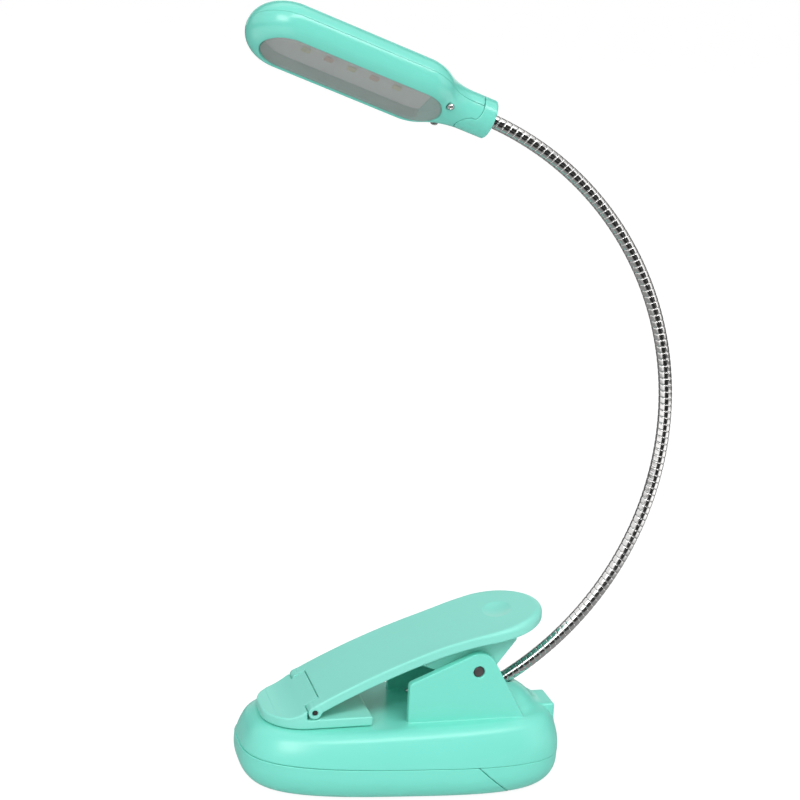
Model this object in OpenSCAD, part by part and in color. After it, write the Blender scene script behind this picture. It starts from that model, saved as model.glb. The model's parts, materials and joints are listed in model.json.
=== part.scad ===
// Clip-on reading lamp: a battery base with a sprung clip, a gooseneck and a flat light head.
// Millimetres, +Z up. The origin is the centre of the base's flat underside,
// +X points to the end that the neck leaves from, and the clip's jaw is at -X.

/* [Base] */
// Length of the base
base_len = 97.6; // [94:0.2:110]
// Width of the base
base_w = 47.6; // [46:0.2:54]
// Power of the base's super-ellipse plan: 2 is an ellipse, more is squarer
plan_power = 3.06; // [2.6:0.02:3.6]
// Height of the joint line between upper and lower shell
seam_h = 11.5; // [11:0.1:12.5]
// Height of the deck above the joint line, at mid length
deck_over_seam = 10.5; // [10:0.1:13]
// Slope of the deck, rising toward the neck
deck_tilt = 3; // [2:0.1:4]
// Rounding of the lower edge
sole_r = 9; // [7:0.25:10]
// Large radius of the flanks below the deck's edge
flank_r = 19; // [17:0.5:24]
// Small radius of the deck's edge
brow_r = 5; // [4:0.25:6]
// Wall of the moulded shells
wall = 2; // [1.6:0.1:2.4]

/* [Battery bay] */
// Diameter of a cell
cell_d = 10.5; // [9.5:0.1:10.5]
// Length of a cell without its nipple
cell_len = 43.7; // [40:0.1:44]
// Spacing of the cells
cell_pitch = 11.3; // [10.9:0.1:11.6]
// Middle of the battery bay, ahead of mid length
bay_x = 12; // [10:0.1:12.5]
// Wall of the battery tray
tray_wall = 1.2; // [1:0.1:1.4]
// Where the battery door ends on the joint line
door_x = 19.3; // [18:0.1:21]
// Slope of the door's end, from the vertical
door_slant = 50; // [40:1:52]

/* [Clip] */
// Distance of the clip's main pin behind mid length
pin_x = 20.5; // [19:0.1:22]
// Height of the main pin over the deck
pin_h = 14.9; // [14:0.1:17]
// Diameter of the main pin
pin_d = 3.2; // [2.6:0.1:3.6]
// Distance over the two ears
ears_w = 28.4; // [27.4:0.1:29.2]
// Thickness of an ear
ear_t = 2.6; // [2.2:0.1:3]
// Radius of an ear's top, around the pin
ear_r = 5.7; // [5:0.1:6.2]
// Front edge of the ears, from mid length
ear_x = -0.5; // [-2:0.1:1]
// Height of the ears' front edge
ear_front_h = 12.1; // [11:0.1:13]
// Back edge of the ears on the deck
ear_back_x = 35.6; // [34:0.1:37]
// Width of the lever
lever_w = 30.2; // [29.6:0.1:32]
// Radius of the lever's rounded thumb end
thumb_r = 16.9; // [16.4:0.1:17.5]
// Where the lever begins to flare toward its thumb end
flare_x = 11; // [6:0.5:14]
// End of the lever behind mid length
lever_end = 42.6; // [40:0.1:43.6]
// Radius of the arch along the lever's top
arch_r = 236; // [210:2:300]
// Slope of the lever's top over the main pin
lever_rise = 15.2; // [14.6:0.1:15.8]
// Height of the lever's top over the main pin
lever_over = 12; // [11.8:0.1:12.6]
// Depth of the lever's skirt
skirt_h = 2.9; // [2.5:0.1:3.4]
// Thickness of the lever's top
lever_t = 1.8; // [1.4:0.1:2]
// Radius of the lever's flanges around the main pin
flange_r = 4.4; // [3.6:0.1:5]
// Thickness of the lever's flanges
flange_t = 2.2; // [1.6:0.1:2.6]
// Length of the thumb dimple along the lever
dimple_len = 8; // [6:0.5:9]
// Width of the thumb dimple
dimple_w = 11.5; // [10:0.5:13]
// Depth of the thumb dimple
dimple_depth = 0.8; // [0.4:0.1:1]

/* [Jaw] */
// Width of the jaw pad
pad_w = 29.6; // [28.6:0.1:30.2]
// Front end of the pad, ahead of mid length
pad_front = 42.5; // [41:0.1:44]
// Back end of the pad, ahead of mid length
pad_back = 11.3; // [10:0.1:16]
// Thickness of the pad's plate
pad_t = 2.9; // [2.4:0.1:2.9]
// Radius of the pad's front corners
pad_corner_r = 12.6; // [9:0.1:13]
// Distance of the pad's pin ahead of mid length
pad_pin_x = 28.6; // [28.2:0.1:29]
// Height of the pad's pin over the deck
pad_pin_h = 5.3; // [5.3:0.1:5.6]
// Diameter of the pad's pin
pad_pin_d = 1.5; // [1.2:0.1:1.6]
// Radius of the lever's knuckles around the pad's pin
knuckle_r = 1.9; // [1.7:0.05:1.9]
// Width of the pad's tongue between the knuckles
tongue_w = 20.5; // [18:0.1:22]

/* [Neck] */
// Diameter of the gooseneck
neck_d = 4; // [3.8:0.1:4.4]
// Radius that the neck is bent to
bend_r = 94.2; // [88:0.2:105]
// Where the neck stands clear of the base, behind mid length
neck_x = 36.9; // [36:0.1:38]
// Height of that point above the table
neck_z = 34.4; // [33.8:0.1:35]
// Rise of the neck at that point, from the horizontal
neck_rise = 38; // [37:0.5:40]
// Turns of the winding in one link
turns_per_link = 14; // [12:1:16]
// Part of the bend that one link takes up, in degrees
link_sweep = 14.6; // [13:0.1:15.2]
// Part of the bend from the clear point to the first bending point, in degrees
first_sweep = 6; // [5:0.5:8]
// Part of the bend from the last bending point to the head's collar, in degrees
last_sweep = 15.1; // [14:0.1:16]

/* [Head] */
// Length of the head, collar included
head_len = 73.8; // [71:0.2:80]
// Width of the head
head_w = 24.4; // [23.6:0.1:27]
// Thickness of the head
head_t = 12; // [11.6:0.1:12.6]
// Diameter of the head's collar
collar_d = 11.3; // [10:0.1:11.5]
// Rise of the head toward its tip
head_rise = 17.5; // [15:0.5:21]
// Roll of the head about its own length
head_roll = 32; // [0:1:45]
// Length of the collar behind the shoulders
collar_len = 7.3; // [6.6:0.1:9]
// Length of the shoulders, from full width to the collar
shoulder_len = 16.5; // [15:0.1:19]
// Wall of the head's shells
head_wall = 1.4; // [1.2:0.1:1.6]
// Length of the light window
window_len = 53.8; // [48:0.2:54.4]
// Width of the light window
window_w = 16.3; // [14:0.1:17]
// Distance from the head's tip to the window
window_tip = 5.1; // [4.8:0.1:6]
// Number of light-emitting diodes
led_count = 5; // [3:1:6]
// Spacing of the diodes
led_pitch = 6.9; // [5:0.1:7.5]

/* [Hidden] */
$fn = 96;
fine_fn = 360;
wire_fn = 24;
neck_fn = 48;
ring_n = 64;
head_ring_n = 24;
// Running clearance of a pin in its bore, on the radius
run = 0.05;
// Gap between moulded parts that move past each other
slack = 0.3;
// Gap between moulded parts that are closed on each other
joint_gap = 0.2;

base_x = base_len / 2;
base_y = base_w / 2;
brow_angle = 30;
// Depth of the widest level below the deck
cap_h = (flank_r - brow_r) * sin(brow_angle) + brow_r;
mound_at = [pin_x + 9.4, -8];
mound_r = 15;
block_len = 14;
block_w = 11.8;
block_h = 8.5;
block_end = base_x - 1.2;

pin_at = [pin_x, pin_h];
pad_pin_at = [-pad_pin_x, pad_pin_h];
ear_out = ears_w / 2;
ear_in = ear_out - ear_t;
flange_out = ear_in - slack;
flange_in = flange_out - flange_t;
flange_front = [-16.5, 1.7];
flange_back = [11.9, 8.4];
lever_wall = 1.8;
// Centre of the arch that the lever's top follows
arch_at = pin_at + [arch_r * sin(lever_rise), lever_over - arch_r * cos(lever_rise)];
slot_x = knuckle_r - pad_pin_x;
dimple_x = pin_x + 8.7;

coil_wire = 1.2;
leg_r = coil_wire / 2 - run;
coil_turns = 5;
coil_pitch = 0.9 * coil_wire;
coil_r = pin_d / 2 + slack + coil_wire / 2;
coil_y = 2.2;
coil_len = coil_wire + (coil_turns - 1) * coil_pitch;

pad_top = joint_gap + pad_t;
ramp_slope = 33;
ramp_r = 12;
ramp_top = pad_pin_at + [1.7, 3.1];
ramp_foot = [ramp_top[0] - (ramp_top[1] - pad_top) / tan(ramp_slope), pad_top];

neck_r = neck_d / 2;
core_r = neck_r - 0.4;
wind_r = 0.32 * neck_r;
ball_r = neck_r - 0.15;
ball_gap = 0.12;
clear_angle = neck_rise - 90;
bend_at = [neck_x - bend_r * cos(clear_angle), neck_z - bend_r * sin(clear_angle)];
root_sweep = 8.4;
root_angle = clear_angle - root_sweep;
turn_sweep = link_sweep / turns_per_link;
link_count = 7;
end_angle = clear_angle + first_sweep + link_count * link_sweep + last_sweep;
collar_at = bend_at + bend_r * [cos(end_angle), sin(end_angle)];
grip_len = 6;
socket_r = neck_r + 1.7;
set_screw_d = 2;
set_screw_len = 3.4;
set_screw_angle = root_angle + 1.6;

half_w = head_w / 2;
half_t = head_t / 2;
collar_r = collar_d / 2;
tip_x = -head_len;
shoulder_x = -collar_len - shoulder_len;
// Each shoulder is an S of two equal arcs
s_angle = 2 * atan((half_w - collar_r) / shoulder_len);
s_r = shoulder_len / (2 * sin(s_angle));
hollow_end = -19;
window_x = tip_x + window_tip;
window_depth = 0.5;
lens_t = 1.2;
led_board_t = 1;
led_board_z = 0.6;
led_board_inset = 0.3;
led_size = [2.8, 2, 0.7];
led_mid = window_x + window_len / 2 - 1.4;
post_r = 1.5;
seam_ring = -4.2;
tongue_reach = 5.6;
seam_tongue_w = 7.2;
head_screw_at = [-14, 5.4];
head_screw_d = 1.4;
head_screw_head_d = 2.1;
head_screw_depth = 2.2;
head_screw_sink = 1.2;
head_screw_bite = 2.6;

nipple_d = 3.8;
nipple_len = 0.8;
plate_t = 0.4;
plate_w = 7.4;
spring_len = 3;
spring_wire = 0.7;
spring_turns = 5;
bay_len = plate_t + spring_len + cell_len + nipple_len + plate_t;
cell_floor = 0.5;
cell_z = wall + cell_floor + cell_d / 2;
tray_y = cell_pitch + cell_d / 2 + 0.5;
tray_top = cell_z + cell_d / 2 + slack;
tray_roof = tray_top + tray_wall;
tray_foot = cell_z - 1.8;
tray_screws_at = [[-14, cell_pitch / 2], [16, -cell_pitch / 2]];
tray_screw_d = 2;
tray_screw_head = [3.6, 1];

// The door hangs on two hooks that run over ledges in the upper shell, and on two tongues
hook_x = -2;
hook_len = 8;
hook_t = 1.2;
hook_y = tray_y + tray_wall + slack;
hook_foot = 2.6;
hook_lip = 0.9;
ledge_y = hook_y + hook_t + slack;
ledge_z = seam_h + slack;
ledge_t = 1.2;
tongue_y = 9.8;
tongue_t = 1.2;
tongue_z = wall + 0.9;
door_tongue_x = 25;
door_tongue_len = 9;
door_tongue_w = 4;

board_t = 1.2;
board_z = seam_h + 5.9;
board_x = 17.5;
board_len = base_x - 7 - board_x;
board_w = 24;
usb_w = 7.6;
usb_h = 2.7;
usb_len = 5.4;
button_at = [28, seam_h + 4];
button_d = 6;
button_proud = 1;
button_travel = 0.8;
button_flange = 1;
button_lip = 0.55;
plunger_d = 2.4;
switch_len = 5;
switch_w = 6;
switch_h = 3.6;
switch_y = 9;
case_screw_at = [36.5, 6];
case_screw_d = 2.2;
case_screw_head = [4, 1.6];
case_screw_z = 1.2;
case_screw_len = 12;
boss_r = 2.8;
boss_h = 20;

// ---- Shared helpers ----

function polar(r, a) = r * [cos(a), sin(a)];

// How far from p, in direction a, the inside of the circle (c, r) is reached
function reach_to_circle(p, a, c, r) =
    let (b = (p - c) * polar(1, a))
    sqrt(b * b - (p - c) * (p - c) + r * r) - b;

// Angle, seen from c, at which a line from p touches the circle (c, r)
function tangent_angle(p, c, r, side) =
    atan2(p[1] - c[1], p[0] - c[0]) + side * acos(r / norm(p - c));

// Slice of a disc between two angles
module wedge(at, r, a0, a1) {
    mid = (a0 + a1) / 2;
    translate(at)
        intersection() {
            circle(r);
            polygon([[0, 0], polar(2 * r, a0), polar(2 * r, mid), polar(2 * r, a1)]);
        }
}

// Closed skin over a list of rings that have equally many points
module skin(rings) {
    n = len(rings[0]);
    last = len(rings) - 1;
    polyhedron(
        points = [for (ring = rings) each ring],
        faces = [
            [for (i = [0:n - 1]) i],
            for (k = [0:last - 1], i = [0:n - 1])
                let (a = k * n + i, b = k * n + (i + 1) % n)
                each [[a, a + n, b + n], [a, b + n, b]],
            [for (i = [n - 1:-1:0]) last * n + i]
        ]
    );
}

// A side view in X and Z, given thickness between two Y planes
module across(y0, y1) {
    translate([0, y1, 0])
        rotate([90, 0, 0])
            linear_extrude(y1 - y0)
                children();
}

module both_sides() {
    children();
    mirror([0, 1, 0])
        children();
}

// Frame of the deck: the upper side of the base, tilted about the middle of the joint line
module on_deck() {
    translate([0, 0, seam_h])
        rotate([0, -deck_tilt, 0])
            translate([0, 0, deck_over_seam])
                children();
}

// ---- The pebble form of the base ----

function plan_ring(inset, z, n = ring_n) = [
    for (i = [0:n - 1])
        let (c = cos(360 * i / n), s = sin(360 * i / n))
        [
            (base_x - inset) * sign(c) * pow(abs(c), 2 / plan_power),
            (base_y - inset) * sign(s) * pow(abs(s), 2 / plan_power),
            z
        ]
];

// Half width of the base at x, where it is widest
function plan_y(x) = base_y * pow(1 - pow(abs(x) / base_x, plan_power), 1 / plan_power);

// The lower half, set in from the surface by t
module tub(t, top, steps) {
    r = sole_r - t;
    skin([
        for (k = [0:steps])
            let (a = 90 * k / steps)
            plan_ring(t + r * (1 - sin(a)), t + r * (1 - cos(a))),
        plan_ring(t, top)
    ]);
}

// The upper half, measured from the deck and set in from the surface by t
module cap(t, steps) {
    skin([
        plan_ring(t, -2 * seam_h),
        for (k = [0:steps])
            let (a = brow_angle * k / steps)
            plan_ring(flank_r - (flank_r - t) * cos(a), (flank_r - t) * sin(a) - cap_h),
        for (k = [1:steps])
            let (a = brow_angle + (90 - brow_angle) * k / steps)
            plan_ring(
                flank_r - (flank_r - brow_r) * cos(brow_angle) - (brow_r - t) * cos(a),
                (brow_r - t) * sin(a) - brow_r
            )
    ]);
}

module above(z) {
    translate([-base_len, -base_w, z])
        cube([2 * base_len, 2 * base_w, 10 * seam_h]);
}

// The part of the lower half that belongs to the battery door
module door_side(gap) {
    x = door_x - gap / cos(door_slant);
    rise = seam_h + 1;
    across(-base_w, base_w)
        polygon([
            [-base_len, -1], [x + rise * tan(door_slant), -1],
            [x - tan(door_slant), rise], [-base_len, rise]
        ]);
}

// ---- Upper shell ----

module ear_outline() {
    front = [ear_x, ear_front_h];
    back = [ear_back_x, -1];
    a0 = tangent_angle(back, pin_at, ear_r, 1);
    a1 = tangent_angle(front, pin_at, ear_r, -1) + 360;
    steps = 24;
    polygon([
        [ear_x, -1], front,
        for (k = [0:steps]) pin_at + polar(ear_r, a1 + (a0 - a1) * k / steps),
        back
    ]);
}

module mound(t) {
    translate([mound_at[0], 0, mound_at[1]])
        sphere(mound_r - t);
}

module port_block(t) {
    translate([block_end - block_len, t - block_w / 2, -block_h])
        cube([block_len - t, block_w - 2 * t, block_h - t]);
}

// A stretch of the neck's bend, as a tube or rod of radius r
module bend_rod(a0, a1, r) {
    on_bend(a0)
        rotate_extrude(angle = a1 - a0)
            translate([bend_r, 0])
                circle(r, $fn = neck_fn);
}

// What stays solid inside the upper shell: the neck's socket and the screw bosses
module upper_bosses() {
    bend_rod(root_angle, clear_angle - 2, socket_r);
    both_sides()
        translate([case_screw_at[0], case_screw_at[1], seam_h])
            cylinder(r = boss_r, h = boss_h);
    for (at = tray_screws_at)
        translate([at[0] - bay_x, at[1], tray_roof])
            cylinder(r = boss_r, h = boss_h);
    both_sides()
        translate([hook_x, ledge_y, ledge_z])
            cube([hook_len + 2, base_y - wall / 2 - ledge_y, ledge_t]);
}

module upper_shell() {
    color("mediumaquamarine")
        difference() {
            intersection() {
                on_deck() {
                    cap(0, 4);
                    mound(0);
                    port_block(0);
                    both_sides()
                        across(ear_in, ear_out)
                            ear_outline();
                }
                above(seam_h + joint_gap / 2);
            }
            difference() {
                on_deck() {
                    cap(wall, 2);
                    mound(wall);
                    port_block(wall);
                }
                upper_bosses();
            }
            on_deck()
                across(-ears_w, ears_w)
                    translate(pin_at)
                        circle(pin_d / 2);
            bend_rod(root_angle - 1, clear_angle, neck_r + run);
            set_screw_form();
            // Pilot holes of the case and tray screws
            both_sides()
                translate([case_screw_at[0], case_screw_at[1], seam_h - 1])
                    cylinder(d = case_screw_d, h = case_screw_len - seam_h + 6);
            for (at = tray_screws_at)
                translate([at[0] - bay_x, at[1], tray_roof - 1])
                    cylinder(d = tray_screw_d, h = 4);
            // Mouth of the socket in the block's end face
            translate([block_end - wall - usb_len, -usb_w / 2 - run, board_z + board_t - run])
                cube([base_x, usb_w + 2 * run, usb_h + 2 * run]);
            // Hole for the power button in the far side
            on_button(plan_y(button_at[0]) - 6)
                cylinder(d = button_d + joint_gap, h = 12);
        }
}

// ---- Lower shell and battery bay ----

module lower_shell() {
    color("mediumaquamarine")
        difference() {
            tub(0, seam_h - joint_gap / 2, 6);
            difference() {
                tub(wall, seam_h + 1, 3);
                both_sides()
                    translate([case_screw_at[0], case_screw_at[1], 0])
                        cylinder(r = boss_r, h = seam_h - joint_gap / 2);
            }
            door_side(0);
            both_sides()
                translate([case_screw_at[0], case_screw_at[1], -1]) {
                    cylinder(d = case_screw_d, h = seam_h + 2);
                    cylinder(d = case_screw_head[0] + joint_gap, h = 1 + case_screw_z + case_screw_head[1]);
                }
        }
}

module door_catches() {
    lip_z = ledge_z + ledge_t + slack;
    both_sides() {
        translate([hook_x, hook_y, hook_foot])
            cube([hook_len, hook_t, lip_z + hook_lip - hook_foot]);
        translate([hook_x, hook_y, lip_z])
            cube([hook_len, ledge_y + hook_lip - hook_y, hook_lip]);
        translate([door_tongue_x, tongue_y, tongue_z])
            cube([door_tongue_len, door_tongue_w, tongue_t]);
        translate([door_tongue_x, tongue_y, wall / 2])
            cube([door_tongue_len / 2, door_tongue_w, tongue_z]);
    }
}

module battery_door() {
    color("mediumaquamarine") {
        intersection() {
            difference() {
                tub(0, seam_h - joint_gap / 2, 6);
                tub(wall, seam_h + 1, 3);
            }
            door_side(joint_gap);
        }
        door_catches();
    }
}

module case_screws() {
    color("silver")
        both_sides()
            translate([case_screw_at[0], case_screw_at[1], case_screw_z]) {
                cylinder(d = case_screw_head[0], h = case_screw_head[1]);
                cylinder(d = case_screw_d, h = case_screw_len);
            }
}

// Open below, where the cells go in
module battery_tray() {
    x0 = -bay_x - bay_len / 2 - tray_wall;
    len = bay_len + 2 * tray_wall;
    side = tray_y + tray_wall;
    color("gainsboro")
        difference() {
            intersection() {
                translate([x0, -side, tray_foot])
                    cube([len, 2 * side, tray_roof - tray_foot]);
                skin([for (z = [0, 2 * seam_h]) plan_ring(wall + 2.2, z, 32)]);
            }
            translate([x0 + tray_wall, -tray_y, 0])
                cube([bay_len, 2 * tray_y, tray_top]);
            for (at = tray_screws_at)
                translate([at[0] - bay_x, at[1], 0])
                    cylinder(d = tray_screw_d, h = 30);
        }
}

module tray_screws() {
    color("silver")
        for (at = tray_screws_at)
            translate([at[0] - bay_x, at[1], tray_top - tray_screw_head[1]]) {
                cylinder(d = tray_screw_head[0], h = tray_screw_head[1]);
                cylinder(d = tray_screw_d, h = tray_screw_head[1] + tray_wall + 2.5);
            }
}

// Frame of a cell: along X from the middle of the bay, every second cell turned round
module at_cell(i) {
    translate([-bay_x, (i - 1) * cell_pitch, cell_z])
        mirror([i == 1 ? 1 : 0, 0, 0])
            rotate([0, 90, 0])
                children();
}

module cell(i) {
    color("goldenrod")
        at_cell(i)
            translate([0, 0, plate_t + spring_len - bay_len / 2]) {
                cylinder(d = cell_d, h = cell_len);
                cylinder(d = nipple_d, h = cell_len + nipple_len);
            }
}

module cell_1() { cell(0); }
module cell_2() { cell(1); }
module cell_3() { cell(2); }

// Conical coils, each wound from rings that touch
module contact_springs() {
    step = (spring_len - spring_wire) / (spring_turns - 1);
    color("silver")
        for (i = [0:2])
            at_cell(i)
                translate([0, 0, plate_t - bay_len / 2])
                    rotate_extrude()
                        for (k = [0:spring_turns - 1])
                            translate([3.4 - 0.35 * k, spring_wire / 2 + k * step])
                                circle(d = spring_wire, $fn = wire_fn);
}

module contact_plates() {
    color("silver")
        for (i = [0:2], end = [-bay_len / 2, bay_len / 2 - plate_t])
            at_cell(i)
                translate([-plate_w / 2, -plate_w / 2, end])
                    cube([plate_w, plate_w, plate_t]);
}

// ---- Electronics of the base ----

module main_board() {
    color("darkgreen")
        difference() {
            translate([board_x, -board_w / 2, board_z])
                cube([board_len, board_w, board_t]);
            both_sides()
                translate([case_screw_at[0], case_screw_at[1], board_z - 1])
                    cylinder(r = boss_r + joint_gap, h = board_t + 2);
        }
}

module usb_socket() {
    shell_t = 0.35;
    color("silver")
        translate([block_end - wall - usb_len, -usb_w / 2, board_z + board_t])
            difference() {
                cube([usb_len, usb_w, usb_h]);
                translate([1, shell_t, shell_t])
                    cube([usb_len, usb_w - 2 * shell_t, usb_h - 2 * shell_t]);
            }
}

// Frame of the power button: along +Y, starting y from mid width
module on_button(y) {
    translate([button_at[0], y, button_at[1]])
        rotate([-90, 0, 0])
            children();
}

module push_switch() {
    color("dimgray")
        difference() {
            translate([button_at[0] - switch_w / 2, switch_y, board_z - switch_h])
                cube([switch_w, switch_len, switch_h]);
            on_button(switch_y + 1)
                cylinder(d = plunger_d + 2 * run, h = switch_len);
        }
}

module switch_plunger() {
    color("white")
        on_button(switch_y + 1 + button_travel + joint_gap)
            cylinder(d = plunger_d, h = switch_len);
}

module power_button() {
    face = plan_y(button_at[0]) + button_proud;
    inner = switch_y + 1 + button_travel + joint_gap + switch_len;
    flange = plan_y(button_at[0]) - wall - 2.4;
    color("mediumaquamarine") {
        on_button(inner)
            cylinder(d = button_d, h = face - inner);
        on_button(flange - button_flange)
            cylinder(d = button_d + 2 * button_lip, h = button_flange);
    }
}

// ---- Clip ----

module main_pin() {
    color("dimgray")
        on_deck()
            across(slack - ear_out, ear_out - slack)
                translate(pin_at)
                    circle(pin_d / 2);
}

// A straight leg of spring wire, leaving the coil's rim on a tangent
module spring_leg(y, a, length) {
    translate([pin_at[0], y, pin_at[1]])
        rotate([0, -a, 0])
            translate([0, 0, coil_r])
                rotate([0, 90, 0])
                    cylinder(r = leg_r, h = length);
}

// Two coils on the main pin, each with a leg that presses on the deck
module spring_coils() {
    slope = 35;
    leg_len = (pin_h - coil_r * cos(slope) - coil_wire / 2 - joint_gap) / sin(slope);
    color("silver")
        on_deck()
            both_sides() {
                translate([pin_at[0], coil_y, pin_at[1]])
                    rotate([-90, 0, 0])
                        rotate_extrude()
                            for (k = [0:coil_turns - 1])
                                translate([coil_r, coil_wire / 2 + k * coil_pitch])
                                    circle(d = coil_wire, $fn = wire_fn);
                spring_leg(coil_y + coil_len - coil_wire / 2, 180 + slope, leg_len);
            }
}

// The loop between the coils, which presses on the lever
module spring_bridge() {
    slope = 40;
    reach = reach_to_circle(
        pin_at + polar(coil_r, slope + 90), slope, arch_at,
        arch_r - lever_t - coil_wire / 2 - joint_gap / 2
    );
    y = coil_y - coil_wire / 2 - joint_gap;
    color("silver")
        on_deck() {
            both_sides() {
                translate([pin_at[0], y, pin_at[1]])
                    rotate([-90, 0, 0])
                        rotate_extrude()
                            translate([coil_r, 0])
                                circle(d = coil_wire, $fn = wire_fn);
                spring_leg(y, slope, reach + coil_wire / 2);
            }
            translate([pin_at[0], -y, pin_at[1]])
                rotate([0, -slope, 0])
                    translate([reach, 0, coil_r])
                        rotate([-90, 0, 0])
                            cylinder(r = leg_r - run, h = 2 * y);
        }
}

// Plan of the lever: parallel sides that flare to a round thumb end
module lever_plan(inset) {
    w = lever_w / 2 - inset;
    r = thumb_r - inset;
    at = [lever_end - thumb_r, 0];
    flare = [flare_x, w];
    a = tangent_angle(flare, at, r, -1);
    front = -pad_pin_x - knuckle_r - 1;
    polygon([
        [front, -w], [flare_x, -w],
        for (k = [-20:20]) at + polar(r, a * k / 20),
        flare, [front, w]
    ]);
}

// Side view of a layer of the lever, between two depths below its arched top
module arch_band(top, bottom, x0, x1) {
    a0 = acos((x1 - arch_at[0]) / arch_r);
    a1 = acos((x0 - arch_at[0]) / arch_r);
    intersection() {
        difference() {
            wedge(arch_at, arch_r - top, a0 - 2, a1 + 2, $fn = fine_fn);
            wedge(arch_at, arch_r - bottom, a0 - 3, a1 + 3, $fn = fine_fn);
        }
        translate([x0, 0])
            square([x1 - x0, 60]);
    }
}

module flange_outline() {
    front = pin_at + flange_front;
    back = pin_at + flange_back;
    a0 = tangent_angle(front, pin_at, flange_r, 1);
    a1 = tangent_angle(back, pin_at, flange_r, -1) + 360;
    steps = 18;
    polygon([
        front,
        for (k = [0:steps]) pin_at + polar(flange_r, a0 + (a1 - a0) * k / steps),
        back, back + [2, 12], front + [-1, 12]
    ]);
}

// Scooped like the end of a thumb: a bowl drawn out sideways
module dimple() {
    r = (dimple_len * dimple_len / 4 + dimple_depth * dimple_depth) / (2 * dimple_depth);
    stretch = dimple_w - dimple_len;
    top = arch_at[1] + sqrt(arch_r * arch_r - pow(dimple_x - arch_at[0], 2));
    translate([dimple_x, 0, top + r - dimple_depth])
        rotate([90, 0, 0])
            rotate_extrude() {
                translate([0, -stretch / 2])
                    square([r, stretch]);
                wedge([0, stretch / 2], r, 0, 90);
                wedge([0, -stretch / 2], r, -90, 0);
            }
}

module clip_lever() {
    color("aquamarine")
        on_deck()
            difference() {
                union() {
                    intersection() {
                        across(-lever_w, lever_w) {
                            arch_band(0, skirt_h, -pad_pin_x, lever_end + 1);
                            translate(pad_pin_at)
                                circle(knuckle_r);
                        }
                        linear_extrude(60)
                            lever_plan(0);
                    }
                    both_sides()
                        across(flange_in, flange_out)
                            intersection() {
                                flange_outline();
                                wedge(arch_at, arch_r - lever_t / 2, 85, 125, $fn = fine_fn);
                            }
                }
                // Hollow under the top, with the flanges left as ribs
                intersection() {
                    across(-lever_w, lever_w)
                        arch_band(lever_t, skirt_h + 2, slot_x + 2.2, lever_end);
                    linear_extrude(60)
                        difference() {
                            lever_plan(lever_wall);
                            both_sides()
                                translate([-base_x, flange_in])
                                    square([base_len, flange_t]);
                        }
                }
                // Gap for the pad's tongue
                translate([-base_x, -tongue_w / 2 - joint_gap, -1])
                    cube([base_x + slot_x, tongue_w + 2 * joint_gap, 30]);
                across(-lever_w, lever_w) {
                    translate(pin_at)
                        circle(pin_d / 2 + run);
                    translate(pad_pin_at)
                        circle(pad_pin_d / 2);
                }
                dimple();
            }
}

// ---- Jaw pad ----

module pad_plan() {
    w = pad_w / 2;
    r = pad_corner_r;
    polygon([
        [r - pad_front, -w], [-pad_back, -w], [-pad_back, w], [r - pad_front, w],
        [r - pad_front, w - r], [-pad_front, w - r], [-pad_front, r - w], [r - pad_front, r - w]
    ]);
    wedge([r - pad_front, w - r], r, 90, 180);
    wedge([r - pad_front, r - w], r, 180, 270);
}

// Side view of the pad's raised hinge end, with a hollow ramp up to it
module ramp_outline(x_end) {
    reach = ramp_r * tan(ramp_slope / 2);
    start = ramp_foot - [reach, 0];
    difference() {
        polygon([
            start - [0, 1], start, ramp_foot + polar(reach, ramp_slope), ramp_top,
            [ramp_top[0], pad_top - 1]
        ]);
        wedge(start + [0, ramp_r], ramp_r, 270, 270 + ramp_slope);
        translate([x_end, 0])
            square([20, 20]);
    }
}

module jaw_pad() {
    notch = -pad_pin_x - knuckle_r - joint_gap;
    color("aquamarine")
        on_deck()
            difference() {
                intersection() {
                    union() {
                        across(-pad_w, pad_w) {
                            translate([-pad_front - 1, joint_gap])
                                square([pad_front - pad_back + 1, pad_t]);
                            ramp_outline(notch);
                        }
                        across(-tongue_w / 2, tongue_w / 2)
                            ramp_outline(0);
                    }
                    linear_extrude(30)
                        pad_plan();
                }
                across(-tongue_w, tongue_w)
                    translate(pad_pin_at)
                        circle(pad_pin_d / 2 + run);
            }
}

module pad_pin() {
    color("dimgray")
        on_deck()
            across(slack - lever_w / 2, lever_w / 2 - slack)
                translate(pad_pin_at)
                    circle(pad_pin_d / 2);
}

// ---- Gooseneck ----

module on_bend(a) {
    translate([bend_at[0], 0, bend_at[1]])
        rotate([90, 0, 0])
            rotate([0, 0, a])
                children();
}

module one_turn(a) {
    on_bend(a)
        translate([bend_r, 0, 0])
            rotate([90, 0, 0])
                rotate_extrude($fn = neck_fn)
                    translate([neck_r - wind_r, 0])
                        circle(wind_r, $fn = wire_fn);
}

// A stretch of the wound neck: a ball at its lower end and a cup at its upper end, where they move
module wound(a0, a1, ball, cup, turns, phase = 0) {
    difference() {
        union() {
            bend_rod(a0, a1, core_r);
            if (ball)
                on_bend(a0)
                    translate([bend_r, 0, 0])
                        sphere(ball_r);
            for (k = [1:turns])
                one_turn(a1 - (k - phase) * turn_sweep);
        }
        if (cup)
            on_bend(a1)
                translate([bend_r, 0, 0])
                    sphere(ball_r + ball_gap);
    }
}

function joint_angle(i) = clear_angle + first_sweep + (i - 1) * link_sweep;

module set_screw_form() {
    on_bend(set_screw_angle)
        translate([bend_r + neck_r + run / 2, 0, 0])
            rotate([0, 90, 0])
                cylinder(d = set_screw_d, h = set_screw_len);
}

module neck_set_screw() {
    color("dimgray")
        set_screw_form();
}

module neck_link(i) {
    color("silver")
        wound(joint_angle(i), joint_angle(i + 1), true, true, turns_per_link - 1);
}

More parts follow.
